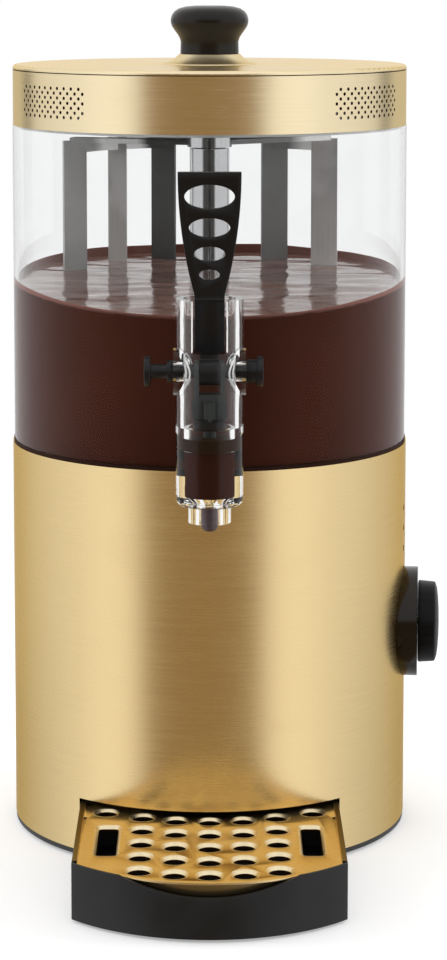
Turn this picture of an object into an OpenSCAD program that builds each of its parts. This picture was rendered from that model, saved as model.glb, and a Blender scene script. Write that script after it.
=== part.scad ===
// Counter-top hot chocolate dispenser: a heated base in brass-coloured sheet metal carries a clear
// bowl with a motor-driven stirrer, a lever tap at the front and a lift-off lid.
// Millimetres, +Z up. The origin is the point on the table under the bowl's axis; the tap faces -Y.

/* [Base] */
// Outer diameter of the sheet-metal base
base_d = 240; // [220:1:260]
// Height of the top of the base above the table
base_top_z = 236; // [225:1:250]
// Sheet thickness of the base shell
shell_t = 1.2; // [0.8:0.1:2]
// Height of the rubber feet that show under the base
foot_h = 2; // [1:0.5:4]
// Diameter of a rubber foot
foot_d = 20; // [14:1:26]
// Distance of the feet from the axis
foot_ring_r = 98; // [85:1:102]
// Thickness of the moulded bottom cover
plate_t = 2; // [1.5:0.5:3]
// Height of the cover's edge that shows under the shell
plinth_h = 3; // [2:0.5:5]

/* [Vents] */
// Diameter of a base vent hole
vent_d = 4; // [3:0.5:5]
// Distance of the lowest row of base vents above the dial's bezel
vent_gap = 2.25; // [2.25:0.25:10]
// Distance between rows of base vents
vent_row_pitch = 12.5; // [10:0.5:14]
// Number of rows of base vents
vent_rows = 4; // [2:1:4]
// Number of columns of base vents
vent_columns = 6; // [2:1:8]
// Angle between columns of base vents
vent_column_step = 4.5; // [4:0.5:6]

/* [Dial] */
// Height of the dial's axis
dial_z = 123.5; // [110:1:125]
// Angle by which the dial is turned from the right side towards the front
dial_turn = 5; // [0:1:15]
// Diameter of the dial's bezel
bezel_d = 66.5; // [58:0.5:68]
// Distance that the bezel's face stands out past the shell
bezel_out = 8; // [7:0.5:12]
// Diameter of the dial knob
dial_knob_d = 50; // [40:1:52]
// Length of the dial knob up to the edge of its domed face
dial_knob_l = 10; // [8:0.5:14]
// Height of the knob's domed face
dial_dome_h = 2.5; // [1:0.5:4]
// Diameter of the thermostat spindle
spindle_d = 6; // [5:0.5:7]

/* [Bowl] */
// Distance by which the bowl's wall stands inside the edge of the base
bowl_inset = 1; // [0.5:0.5:8]
// Wall thickness of the bowl
bowl_t = 2.5; // [2:0.5:3]
// Height of the bowl's wall
bowl_h = 190; // [175:1:205]
// Thickness of the rubber ring under the bowl
gasket_t = 2; // [1:0.5:3]
// Thickness of the steel floor of the bowl
floor_t = 1.2; // [0.8:0.1:2]
// Depth of the drink above the floor of the bowl
drink_depth = 88.8; // [50:0.1:130]
// Outer diameter of the steel column on the axis
column_d = 24; // [20:1:28]
// Wall thickness of the column
column_t = 1.5; // [1:0.5:2]
// Distance of the column's top below the bowl's rim
column_drop = 15; // [13:1:25]

/* [Stirrer] */
// Diameter of the drive shaft
shaft_d = 7; // [6:0.5:8]
// Radius of the ring on which the paddles stand
stir_r = 88; // [78:1:92]
// Thickness of the paddle strips
paddle_t = 2.5; // [2:0.5:4]
// Angle by which each paddle is turned out of the ring
paddle_pitch = 45; // [30:5:50]
// Distance of the top rails' lower edge below the bowl's rim
rail_drop = 20; // [19:1:30]
// Height of the rails
rail_h = 8; // [6:1:9]
// Thickness of the stirrer's arms
arm_t = 3; // [2:0.5:4]
// Width of the stirrer's arms
arm_w = 10; // [8:1:14]

/* [Lid] */
// Height of the lid's skirt
lid_h = 36; // [32:1:42]
// Sheet thickness of the lid
lid_t = 1.2; // [0.8:0.1:2]
// Radius of the lid's top edge
lid_edge_r = 2; // [1.5:0.5:4]
// Width of the seam between the lid's top and its skirt
lid_seam = 0.6; // [0.3:0.1:1]
// Diameter of a vent hole in the lid's skirt
lid_vent_d = 2; // [1.5:0.1:2.2]
// Number of rows of lid vents
lid_vent_rows = 7; // [3:1:7]
// Number of holes in the shorter rows of lid vents
lid_vent_columns = 10; // [4:1:12]
// Distance between rows of lid vents
lid_vent_row_pitch = 2.75; // [2.5:0.05:3]
// Angle between two holes of a row of lid vents
lid_vent_step = 2.85; // [2.6:0.05:3.2]
// Angle of the middle of each patch of lid vents from the front
lid_vent_turn = 52; // [35:1:75]
// Diameter of the foot of the domed boss under the knob
boss_d = 58; // [50:1:66]
// Height of the boss
boss_h = 6; // [4:0.5:8]
// Largest diameter of the lid knob
knob_d = 47; // [42:1:52]
// Diameter of the lid knob's neck
knob_neck_d = 35; // [30:1:38]
// Height of the lid knob
knob_h = 29; // [26:1:34]

/* [Tap] */
// Free length of the tap's pipe between its washer and the tap's tube
tap_stand = 15.3; // [9.3:0.5:22.3]
// Outer diameter of the clear tap body
tap_d = 37.4; // [36.5:0.1:39]
// Distance of the tap body's foot below the axis of its pipe
tap_foot_drop = 25.5; // [24:0.5:30]
// Height of the tap body's open rim above the axis of its pipe
tap_rim_h = 89.5; // [86:0.5:93]
// Height of the lever's pivot pin above the axis of the pipe
pin_h = 49; // [47:0.5:51]
// Diameter of the pivot pin
pin_d = 8; // [7:0.5:8.5]
// Diameter of the drink chamber in the tap
chamber_d = 18.2; // [17.5:0.1:19]
// Diameter of the bore in which the piston seal slides
piston_bore_d = 23.5; // [22:0.1:25]
// Distance of the top of the drink chamber above the pipe's bore
chamber_rise = 1; // [0.5:0.5:2.5]
// Height of the piston seal
piston_h = 7; // [5:0.5:8]
// Outer diameter of the nozzle
nozzle_d = 23.8; // [20:0.1:26]
// Length of the nozzle below the tap's foot
nozzle_l = 9.5; // [7:0.5:12]
// Bore of the nozzle
nozzle_bore_d = 12.2; // [11.5:0.1:13]
// Outer diameter of the pipe from the bowl to the tap
inlet_d = 24; // [22:1:26]
// Bore of the pipe from the bowl to the tap
inlet_bore_d = 9; // [7:0.5:10]
// Distance of the outlet boss above the lower edge of the bowl
outlet_rise = 1; // [0.5:0.5:4]

/* [Tap lever] */
// Length of the lever above its pivot pin
lever_l = 110; // [100:1:120]
// Width of the lever at its top
lever_w = 35; // [32:0.5:38]
// Width of the lever's neck
neck_w = 16.7; // [15.5:0.1:17]
// Thickness of the lever
lever_t = 5; // [4:0.5:5]
// Radius of the lever's curved sides
lever_side_r = 253; // [240:1:300]
// Distance of the lifting peg behind the pivot
peg_offset = 7; // [6.5:0.1:7.2]
// Diameter of the lifting peg
peg_d = 4; // [3:0.5:4]
// Angle through which the lever is pulled
lever_pull = 35; // [20:1:35]

/* [Drip tray] */
// Outer width of the tray
tray_w = 152; // [140:1:156]
// Distance of the tray's front corners from the bowl's axis
tray_corner_y = 203; // [198:1:210]
// Distance of the middle of the tray's front from the bowl's axis
tray_front_y = 236; // [226:1:246]
// Height of the tray's rim
tray_rim_z = 33.5; // [30:0.5:36]
// Wall thickness of the tray
tray_t = 2; // [1.5:0.5:3]
// Depth of the dip in the middle of the tray's front
tray_dip = 9; // [5:0.5:12]
// Width of the dip
tray_dip_w = 98; // [70:1:110]
// Thickness of the grille plate
grille_t = 1.2; // [0.8:0.1:2]
// Width of a grille hole
hole_w = 15; // [12:0.5:16]
// Length of a grille hole from front to back
hole_l = 17; // [15:0.5:18]
// Distance between columns of holes
hole_pitch_x = 19.3; // [18.5:0.1:20]
// Distance between rows of holes
hole_pitch_y = 24; // [22.5:0.1:24.5]
// Depth of the collar that is pressed down round each hole
collar_h = 3; // [2:0.5:4]
// Length of a finger slot in the grille
finger_l = 56; // [40:1:60]
// Width of a finger slot
finger_w = 14; // [10:0.5:16]

/* [Hidden] */
$fn = 96;

// Finishes
brass = [0.80, 0.66, 0.40];
black = [0.07, 0.07, 0.07];
steel = [0.75, 0.76, 0.78];
clear = [0.90, 0.94, 0.96, 0.35];
cocoa = [0.25, 0.11, 0.08];

// Clearances
eps = 0.01;            // length by which a cut runs past the face that it cuts
running = 0.05;        // radial clearance of a pin or shaft in its bore
skin = 0.1;            // gap between a moulding and the sheet on which it is clamped
near = 0.3;            // gap between curved faces that move past each other
loose = 0.4;           // gap of the mechanism inside the tap and round the lid's seal
slide_gap = 0.5;       // gap round the drip tray

// Base
base_r = base_d / 2;
shell_z = foot_h + plinth_h;
shell_h = base_top_z - shell_z;
flange_w = 16;
plate_r = base_r - 0.3;
plate_rim_h = 7;
plate_rim_t = 1.8;
screw_r = 2;
screw_l = 9;
screw_head_r = 3.4;
foot_screw_head_h = 1.2;
motor_screw_head_h = 2.4;
vent_z = dial_z + bezel_d / 2 + vent_gap;
vent_first_angle = -11;
bath_r = base_r - flange_w - 1;
bath_depth = 30;
bath_t = 1;
bath_top_z = base_top_z - shell_t;
bath_floor_z = bath_top_z - bath_depth;
chimney_r = 14;
element_r = 62;
element_d = 8;
element_end_l = 26;
element_sleeve_t = 0.75;
cutout_r = 8;
cutout_h = 12;
gearbox_r = 34;
gearbox_h = 26;
gearbox_gap = 10.8;
gearbox_z = bath_floor_z - gearbox_gap - gearbox_h;
bracket_t = 2;
bracket_r = 46;
post_r = 5;
post_ring_r = 39;
motor_r = 24;
motor_h = 62;
motor_x = 7;
block_w = 48;
block_l = 18;
block_step_h = 9;
block_ridge_l = 10;
block_h = 16;
block_y = 60;
block_screw_r = 2.5;
block_screws = 4;

// Dial, measured outwards along its own axis
bezel_face = base_r + bezel_out;
knob_gap = 0.6;
bush_r = 4.9;
thermostat_w = 38;
thermostat_h = 22;
thermostat_face = base_r - 12;

// Power inlet
inlet_w = 28;
inlet_h = 20;
socket_w = 24;
socket_h = 16;
socket_depth = 17;
socket_z = 38;
socket_flange = 3;
socket_pin_l = 10;

// Bowl
bowl_r = base_r - bowl_inset;
bowl_ri = bowl_r - bowl_t;
bowl_z = base_top_z + gasket_t;
bowl_rim_z = bowl_z + bowl_h;
floor_z = bowl_z + floor_t;
drink_z = floor_z + drink_depth;
column_top_z = bowl_rim_z - column_drop;
rail_z = bowl_rim_z - rail_drop;
column_r = column_d / 2;
column_foot_r = 20;
column_foot_t = 2;
shaft_r = shaft_d / 2;
outlet_l = 13;
outlet_r = inlet_d / 2 + 1;
inlet_z = bowl_z + outlet_rise + outlet_r;
stub_r = inlet_d / 2 - 2.5;
washer_t = 2;

// Stirrer: angles are measured from the back, positive towards the right
left_angles = [-71.5, -41.5, -19.5];
left_widths = [15.3, 11.8, 16.4];
right_angles = [28, 55];
right_widths = [17.2, 16.6];
rail_top_z = rail_z + rail_h;
paddle_foot_z = floor_z + 3;
slot_gap = 0.15;
// the arms' sides meet just inside the hub
hub_r = arm_w / 2 / sin((right_angles[0] - left_angles[2]) / 2) + 1;
hub_z = column_top_z + 1;
hub_h = 9;

// Lid
lid_r = bowl_r - 0.3;
lid_top_z = bowl_rim_z + lid_h;
band_r = lid_r - lid_t;
lid_lip_h = lid_edge_r + 0.5;
lid_flange_h = 9;
lid_vent_z = bowl_rim_z + 8.1;
seal_t = 2.5;
seal_drop = 1.5;
boss_r = boss_d / 2;
lid_screw_r = 3;

// Tap
tap_foot_z = inlet_z - tap_foot_drop;
tap_rim_z = inlet_z + tap_rim_h;
pin_z = inlet_z + pin_h;
chamber_top_z = inlet_z + inlet_bore_d / 2 + chamber_rise;
tap_r = tap_d / 2;
tap_reach = bowl_r + outlet_l + washer_t + tap_stand + tap_r;
tap_y = -tap_reach;
mouth_r = 14.6;
piston_r = piston_bore_d / 2 - running;
chamber_r = chamber_d / 2;
seat_z = tap_foot_z + 2;
seat_h = 3;
lift = peg_offset * sin(lever_pull);
mouth_z = chamber_top_z + piston_h + lift + 2;
ear_r = 13;
ear_x = 20;
pin_r = pin_d / 2;
pin_left = 36;
pin_right = 29.5;
pin_disc_r = 8.4;
pin_disc_t = 3.5;
slot_w = neck_w + 1.6;
slot_z = pin_z + 12;
stem_r = 3.5;
tip_z = tap_foot_z - nozzle_l - 5;

// Lever and plunger
lever_top_z = pin_z + lever_l;
lever_hub_r = 7.5;
lever_hub_w = 11;
yoke_t = 2.4;
yoke_x = lever_hub_w / 2 + near;
neck_z = pin_z + 11;
crosshead_top = pin_z - lever_hub_r - lift - 0.6;
crosshead_h = 4;
peg_r = peg_d / 2;
fin_w = 19;
collar_z = chamber_top_z + piston_h + 4.5;
collar_t = 5.5;
collar_r = 8.4;
lever_rib_h = 1.4;
lever_rib_out = 0.8;
// Holes of the lever: distance of the centre below the top edge, width and height
lever_holes = [[13.6, 27.6, 13.4], [30.6, 22.5, 10.7], [45, 17, 8.3], [56.4, 11.3, 6]];

// Drip tray
tray_back_y = 84;
tray_sag = tray_front_y - tray_corner_y;
tray_arc_r = (pow(tray_w / 2, 2) + pow(tray_sag, 2)) / (2 * tray_sag);
tray_skirt_z = 1.5;
tray_floor_z = foot_h + plate_t + 0.3;
grille_gap = 0.4;
grille_z = tray_rim_z - 1 - grille_t;
grille_lip_h = 12;
dip_reach = 60;
bay_top_z = tray_rim_z + 3;
hole_front_margin = 15;
hole_rows = 5;
hole_columns = 5;
outer_column = (hole_columns - 1) / 2;
hole_bow = 8;
corner_hole_x = 60;
corner_hole_y = 108;
finger_x = 57.8;
finger_y = 160;
finger_r = 4;
notch_y = base_r - 2;
notch_l = 4;
notch_in = 2.5;
notch_h = 6;
hem_t = 0.8;

// ---------- helpers ----------

// Tube standing on z = 0
module tube(r_out, r_in, h) {
  difference() {
    cylinder(r = r_out, h = h);
    translate([0, 0, -eps]) cylinder(r = r_in, h = h + 2 * eps);
  }
}

// Copies around the axis, starting at an angle
module ring_of(count, radius, start = 0) {
  for (i = [0 : count - 1]) rotate([0, 0, start + i * 360 / count]) translate([radius, 0, 0]) children();
}

// Puts a shape made along +Z onto the dial's axis, with z measured from the bowl's axis
module on_dial_axis() {
  translate([0, 0, dial_z]) rotate([0, 0, -dial_turn]) rotate([0, 90, 0]) children();
}

// Slot with round ends along Y, of overall width w and length l
module long_hole(w, l) {
  square([w, l - w], center = true);
  for (side = [-1, 1]) translate([0, side * (l - w) / 2]) circle(d = w);
}

// Rectangle with round corners
module round_rect(w, l, r) {
  square([w - 2 * r, l], center = true);
  square([w, l - 2 * r], center = true);
  for (x = [-1, 1], y = [-1, 1]) translate([x * (w / 2 - r), y * (l / 2 - r)]) circle(r = r);
}

// Ellipse as a polygon
module oval(w, h) {
  polygon([for (a = [0 : 5 : 355]) [w / 2 * cos(a), h / 2 * sin(a)]]);
}

// Outline of the tray, drawn in by a distance; its front is an arc
module tray_outline(inset) {
  intersection() {
    translate([-tray_w / 2 + inset, -tray_front_y - 1])
      square([tray_w - 2 * inset, tray_front_y + 1 - tray_back_y - inset]);
    translate([0, -tray_front_y + tray_arc_r]) circle(r = tray_arc_r - inset, $fn = 240);
  }
}

// ---------- base ----------

module base_plate() {
  color(black) difference() {
    union() {
      translate([0, 0, foot_h]) cylinder(r = plate_r, h = plate_t);
      translate([0, 0, foot_h]) tube(plate_r, plate_r - 3, plinth_h);
      translate([0, 0, foot_h]) tube(base_r - shell_t - near, base_r - shell_t - near - plate_rim_t,
        plinth_h + plate_rim_h);
      translate([0, 0, foot_h]) ring_of(4, foot_ring_r, 45) cylinder(r = 5, h = 12);
      translate([0, 0, foot_h]) ring_of(4, post_ring_r, 45)
        cylinder(r = post_r, h = gearbox_z - bracket_t - foot_h);
    }
    // bay in which the drip tray slides
    translate([-tray_w / 2 - slide_gap - 1, -base_r, foot_h + plate_t])
      cube([tray_w + 2 * slide_gap + 2, base_r - tray_back_y + slide_gap + 1, 40]);
    // screw holes under the feet
    translate([0, 0, foot_h - eps]) ring_of(4, foot_ring_r, 45) cylinder(r = screw_r, h = screw_l + 1);
    // threads for the motor bracket
    translate([0, 0, gearbox_z - bracket_t - screw_l]) ring_of(4, post_ring_r, 45)
      cylinder(r = screw_r, h = screw_l + eps);
  }
}

module base_feet() {
  color(black) ring_of(4, foot_ring_r, 45) difference() {
    cylinder(d = foot_d, h = foot_h);
    translate([0, 0, -eps]) cylinder(r = screw_head_r + 0.2, h = foot_h + 2 * eps);
  }
}

module base_screws() {
  color(steel) translate([0, 0, foot_h]) ring_of(4, foot_ring_r, 45) {
    translate([0, 0, -foot_screw_head_h]) cylinder(r = screw_head_r, h = foot_screw_head_h);
    cylinder(r = screw_r - running, h = screw_l);
  }
}

// Vent holes above the dial, as cutters
module base_vents() {
  for (column = [0 : vent_columns - 1], row = [0 : vent_rows - 1])
    translate([0, 0, vent_z + (row + (column % 2) / 2) * vent_row_pitch])
      rotate([0, 0, vent_first_angle + column * vent_column_step])
        translate([base_r - flange_w, 0, 0]) rotate([0, 90, 0])
          cylinder(d = vent_d, h = flange_w + 4, $fn = 32);
}

module base_shell() {
  color(brass) difference() {
    union() {
      translate([0, 0, shell_z]) tube(base_r, base_r - shell_t, shell_h);
      translate([0, 0, base_top_z - shell_t]) tube(base_r, base_r - flange_w, shell_t);
    }
    // mouth of the tray bay
    translate([-tray_w / 2 - slide_gap, -base_r - 5, shell_z - 1])
      cube([tray_w + 2 * slide_gap, base_r + 5 - tray_back_y + 8, bay_top_z - shell_z + 1]);
    base_vents();
    on_dial_axis() translate([0, 0, base_r - 8]) cylinder(r = bush_r + running, h = 16);
    translate([0, base_r, socket_z]) cube([inlet_w + 0.4, 12, inlet_h + 0.4], center = true);
  }
}

module water_bath() {
  color(steel) difference() {
    union() {
      translate([0, 0, bath_floor_z]) cylinder(r = bath_r, h = bath_depth);
      translate([0, 0, bath_top_z - bath_t]) cylinder(r = base_r - shell_t - near, h = bath_t);
    }
    translate([0, 0, bath_floor_z + bath_t]) difference() {
      cylinder(r = bath_r - bath_t, h = bath_depth);
      translate([0, 0, -eps]) cylinder(r = chimney_r, h = bath_depth + 2 * eps);
    }
    translate([0, 0, bath_floor_z - eps]) cylinder(r = chimney_r - bath_t, h = bath_depth + 2 * eps);
  }
}

// Tubular heater clamped under the water bath, with a sleeve on each of its turned-down ends
module heating_element() {
  lowered = bath_floor_z - element_d / 2 - 2 * near;
  open_angle = 24;
  color([0.35, 0.33, 0.32]) translate([0, 0, lowered]) {
    rotate([0, 0, open_angle / 2]) rotate_extrude(angle = 360 - open_angle)
      translate([element_r, 0]) circle(d = element_d, $fn = 48);
    for (side = [-1, 1]) rotate([0, 0, side * open_angle / 2]) translate([element_r, 0, -element_end_l])
      cylinder(r = element_d / 2 + element_sleeve_t, h = element_end_l + element_d / 2, $fn = 48);
  }
}

module safety_cutout() {
  tab = [0.8, 6, 8];
  color([0.85, 0.82, 0.75]) translate([0, element_r - cutout_r - 6, bath_floor_z - cutout_h]) {
    cylinder(r = cutout_r, h = cutout_h);
    for (side = [-1, 1]) translate([side * 3.5 - tab[0] / 2, -tab[1] / 2, -tab[2]])
      cube(tab + [0, 0, eps]);
  }
}

// Thermostat behind the dial, held by its bush in the shell
module thermostat() {
  color([0.92, 0.90, 0.84]) on_dial_axis() difference() {
    union() {
      translate([-thermostat_w / 2, -thermostat_w / 2, thermostat_face - thermostat_h])
        cube([thermostat_w, thermostat_w, thermostat_h]);
      translate([0, 0, thermostat_face - eps]) cylinder(r = bush_r, h = bezel_face - 2 - thermostat_face);
    }
    translate([0, 0, thermostat_face - 12])
      cylinder(r = spindle_d / 2 + running, h = bezel_face + 12 - thermostat_face);
  }
}

// ---------- drive ----------

module motor_bracket() {
  color(steel) translate([0, 0, gearbox_z - bracket_t]) difference() {
    cylinder(r = bracket_r, h = bracket_t);
    translate([0, 0, -eps]) ring_of(4, post_ring_r, 45) cylinder(r = screw_r + 0.1, h = bracket_t + 1);
    translate([motor_x, 0, -eps]) cylinder(r = motor_r + near, h = bracket_t + 1);
  }
}

module gearbox() {
  color([0.55, 0.56, 0.58]) translate([0, 0, gearbox_z]) difference() {
    union() {
      cylinder(r = gearbox_r, h = gearbox_h - 2);
      cylinder(r = gearbox_r - 2, h = gearbox_h);
      cylinder(r = 11, h = gearbox_h + 4);
    }
    translate([0, 0, 6]) cylinder(r = shaft_r + running, h = gearbox_h);
  }
}

module motor() {
  color([0.42, 0.43, 0.45]) translate([motor_x, 0, gearbox_z - motor_h]) {
    cylinder(r = motor_r, h = motor_h);
    translate([0, 0, -5]) cylinder(r = 9, h = 5 + eps);
  }
}

module motor_screws() {
  color(steel) translate([0, 0, gearbox_z]) ring_of(4, post_ring_r, 45) {
    cylinder(r = screw_head_r, h = motor_screw_head_h);
    translate([0, 0, -screw_l]) cylinder(r = screw_r - running, h = screw_l + eps);
  }
}

module terminal_block() {
  pitch = block_w / block_screws;
  color([0.90, 0.88, 0.80]) translate([-block_w / 2, block_y, foot_h + plate_t]) difference() {
    union() {
      cube([block_w, block_l, block_step_h]);
      translate([0, (block_l - block_ridge_l) / 2, 0]) cube([block_w, block_ridge_l, block_h]);
    }
    for (i = [0 : block_screws - 1]) translate([pitch * (i + 0.5), block_l / 2, block_h / 2])
      cylinder(r = block_screw_r, h = block_h);
  }
}

// Mains inlet in the back of the shell: flange outside, socket with three pins
module power_inlet() {
  color(black) translate([0, base_r, socket_z]) rotate([-90, 0, 0]) {
    difference() {
      union() {
        translate([0, 0, -28]) linear_extrude(28 + 1) square([inlet_w, inlet_h], center = true);
        translate([0, 0, skin]) linear_extrude(2.4)
          round_rect(inlet_w + 2 * socket_flange, inlet_h + 2 * socket_flange, 3);
      }
      translate([0, 0, 2.5 - socket_depth]) linear_extrude(socket_depth + 1)
        round_rect(socket_w, socket_h, 3);
    }
  }
  color(steel) translate([0, base_r + 2.5 - socket_depth, socket_z])
    for (pin = [[-7, -2], [0, 2], [7, -2]]) translate([pin[0] - 1, 0, pin[1] - 2]) cube([2, socket_pin_l, 4]);
}

// ---------- bowl ----------

module bowl_gasket() {
  color(black) translate([0, 0, base_top_z]) tube(bowl_r + 0.4, bath_r - 2, gasket_t);
}

module bowl() {
  color(clear) difference() {
    union() {
      translate([0, 0, bowl_z]) cylinder(r = bowl_r, h = bowl_rim_z - bowl_z);
      translate([0, -bowl_r + 2, inlet_z]) rotate([90, 0, 0]) cylinder(r = outlet_r, h = outlet_l + 2);
    }
    translate([0, 0, bowl_z - eps]) cylinder(r = bowl_ri, h = bowl_rim_z - bowl_z + 2 * eps);
    translate([0, -bowl_ri + 8, inlet_z]) rotate([90, 0, 0])
      cylinder(r = stub_r + running, h = outlet_l + 20);
  }
}

module bowl_floor() {
  color(steel) difference() {
    translate([0, 0, bowl_z]) cylinder(r = bowl_ri - 0.2, h = floor_t);
    translate([0, 0, bowl_z - eps]) cylinder(r = shaft_r + 2, h = floor_t + 2 * eps);
  }
}

module column() {
  color(steel) difference() {
    union() {
      translate([0, 0, floor_z]) cylinder(r = column_foot_r, h = column_foot_t);
      translate([0, 0, floor_z]) cylinder(r = column_r, h = column_top_z - floor_z);
    }
    translate([0, 0, floor_z - eps]) cylinder(r = column_r - column_t, h = column_top_z - floor_z + 2 * eps);
  }
}

module column_bush() {
  color([0.93, 0.93, 0.90]) translate([0, 0, column_top_z - 14])
    tube(column_r - column_t, shaft_r + running, 14);
}

// ---------- stirrer ----------

// Plan of one paddle at an angle on the ring
module paddle_plan(angle, width, pitch, extra = 0) {
  rotate([0, 0, -angle]) translate([0, stir_r]) rotate([0, 0, pitch])
    square([width + 2 * extra, paddle_t + 2 * extra], center = true);
}

// Plan of the rail that joins the first paddle to the last one
module rail_plan(first, last, extra = 0) {
  reach = stir_r + 40;
  intersection() {
    difference() {
      circle(r = stir_r + paddle_t / 2 + extra, $fn = 180);
      circle(r = stir_r - paddle_t / 2 - extra, $fn = 180);
    }
    polygon([[0, 0], [reach * sin(first), reach * cos(first)],
      [reach * sin((first + last) / 2) * 1.4, reach * cos((first + last) / 2) * 1.4],
      [reach * sin(last), reach * cos(last)]]);
  }
}

// One frame: paddles between a top and a bottom rail, and the arms to the hub
module paddle_frame(angles, widths, pitch, extra = 0) {
  first = angles[0];
  last = angles[len(angles) - 1];
  for (i = [0 : len(angles) - 1]) translate([0, 0, paddle_foot_z - extra])
    linear_extrude(rail_top_z - paddle_foot_z + 2 * extra) paddle_plan(angles[i], widths[i], pitch, extra);
  for (z = [rail_z, paddle_foot_z]) translate([0, 0, z - extra]) linear_extrude(rail_h + 2 * extra)
    rail_plan(first, last, extra);
}

module frame_arms(angles) {
  for (angle = [angles[0], angles[len(angles) - 1]]) rotate([0, 0, -angle])
    translate([-arm_w / 2, hub_r - 2, rail_top_z - 1])
      cube([arm_w, stir_r + paddle_t / 2 - hub_r + 2, arm_t]);
}

module left_paddles() {
  color(steel) difference() {
    union() {
      paddle_frame(left_angles, left_widths, -paddle_pitch);
      frame_arms(left_angles);
    }
    translate([0, 0, hub_z - 5]) cylinder(r = hub_r, h = hub_h + 10);
  }
}

module right_paddles() {
  color(steel) difference() {
    union() {
      paddle_frame(right_angles, right_widths, paddle_pitch);
      frame_arms(right_angles);
    }
    translate([0, 0, hub_z - 5]) cylinder(r = hub_r, h = hub_h + 10);
  }
}

module stirrer_hub() {
  color(steel) translate([0, 0, hub_z]) difference() {
    union() {
      cylinder(r = hub_r, h = hub_h - 3);
      cylinder(r = hub_r - 3, h = hub_h);
    }
    translate([0, 0, -eps]) cylinder(r = shaft_r, h = hub_h - 2);
  }
}

module drive_shaft() {
  foot_z = gearbox_z + 7;
  color(steel) translate([0, 0, foot_z]) cylinder(r = shaft_r, h = hub_z + hub_h - 2 - eps - foot_z);
}

// The drink turns with the stirrer; it is cut out where the paddles stand in it
module drink() {
  bottom_z = floor_z + near;
  color(cocoa) difference() {
    translate([0, 0, bottom_z]) cylinder(r = bowl_ri - near, h = drink_z - bottom_z);
    translate([0, 0, bottom_z - eps]) cylinder(r = column_r + near, h = drink_z - bottom_z + 2 * eps);
    translate([0, 0, bottom_z - eps]) cylinder(r = column_foot_r + near, h = column_foot_t + eps);
    paddle_frame(left_angles, left_widths, -paddle_pitch, slot_gap);
    paddle_frame(right_angles, right_widths, paddle_pitch, slot_gap);
  }
}

// ---------- lid ----------

// Turned top of the lid: flat face, rounded edge and the flange that stands inside the skirt
module lid_cap() {
  color(brass) difference() {
    translate([0, 0, lid_top_z]) rotate_extrude($fn = 180) difference() {
      union() {
        translate([0, -lid_lip_h]) square([lid_r, lid_lip_h - lid_edge_r]);
        translate([0, -lid_edge_r]) square([lid_r - lid_edge_r, lid_edge_r]);
        intersection() {
          translate([lid_r - lid_edge_r, -lid_edge_r]) circle(r = lid_edge_r, $fn = 48);
          translate([0, -lid_edge_r]) square([lid_r + 1, lid_edge_r + 1]);
        }
        translate([0, -lid_flange_h]) square([band_r, lid_flange_h - lid_edge_r]);
      }
      translate([-eps, -lid_flange_h - 1]) square([band_r - lid_t + eps, lid_flange_h + 1 - lid_t]);
    }
    translate([0, 0, lid_top_z - 10]) cylinder(r = lid_screw_r + 0.1, h = 20);
  }
}

// Patches of staggered vent holes on both sides of the front, as cutters
module lid_vents() {
  for (side = [-1, 1], row = [0 : lid_vent_rows - 1]) {
    last = lid_vent_columns - 1 + row % 2;
    for (column = [0 : last])
      translate([0, 0, lid_vent_z + row * lid_vent_row_pitch])
        rotate([0, 0, -90 + side * lid_vent_turn + (column - last / 2) * lid_vent_step])
          translate([band_r - 1, 0, 0]) rotate([0, 90, 0]) cylinder(d = lid_vent_d, h = lid_t + 2, $fn = 16);
  }
}

// Perforated band rolled from sheet, pushed over the flange of the lid's top
module lid_skirt() {
  color(brass) difference() {
    translate([0, 0, bowl_rim_z]) tube(lid_r, band_r, lid_h - lid_lip_h - lid_seam);
    lid_vents();
  }
}

// Soft ring inside the skirt: it sits on the bowl's rim and reaches down inside the bowl
module lid_seal() {
  color([0.92, 0.92, 0.90]) translate([0, 0, bowl_rim_z]) {
    tube(lid_r - lid_t, bowl_ri - loose - seal_t, seal_t);
    translate([0, 0, -seal_drop]) tube(bowl_ri - loose, bowl_ri - loose - seal_t, seal_drop + 1);
  }
}

module lid_boss() {
  flat_r = knob_neck_d / 2 + 1;
  color(brass) translate([0, 0, lid_top_z]) difference() {
    rotate_extrude() polygon(concat([[0, 0], [boss_r, 0]],
      [for (a = [10 : 10 : 90]) [flat_r + (boss_r - flat_r) * cos(a), boss_h * sin(a)]], [[0, boss_h]]));
    translate([0, 0, -eps]) cylinder(r = lid_screw_r + 0.1, h = boss_h + 1);
  }
}

// Turned knob: neck, waist and a mushroom head
module lid_knob() {
  neck_r = knob_neck_d / 2;
  head_r = knob_d / 2;
  widest = knob_h * 0.66;
  top_r = head_r * 0.55;
  color(black) translate([0, 0, lid_top_z + boss_h]) difference() {
    rotate_extrude() polygon(concat(
      [[0, 0], [neck_r, 0], [neck_r + 0.3, knob_h * 0.12], [neck_r + 0.8, knob_h * 0.3]],
      [for (a = [0 : 15 : 90]) [neck_r + 0.8 + (head_r - neck_r - 0.8) * (1 - cos(a)),
        knob_h * 0.3 + (widest - knob_h * 0.3) * sin(a) * 0.86]],
      [for (a = [0 : 10 : 90]) [top_r + (head_r - top_r) * cos(a), widest + (knob_h - 2 - widest) * sin(a)]],
      [[top_r * 0.6, knob_h - 0.8], [0, knob_h]]));
    translate([0, 0, -eps]) cylinder(r = lid_screw_r, h = 14);
  }
}

module lid_screw() {
  color(steel) translate([0, 0, lid_top_z - lid_t]) {
    translate([0, 0, -3]) cylinder(r = 7, h = 3);
    cylinder(r = lid_screw_r - running, h = lid_t + boss_h + 12);
  }
}

// ---------- tap ----------

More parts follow.
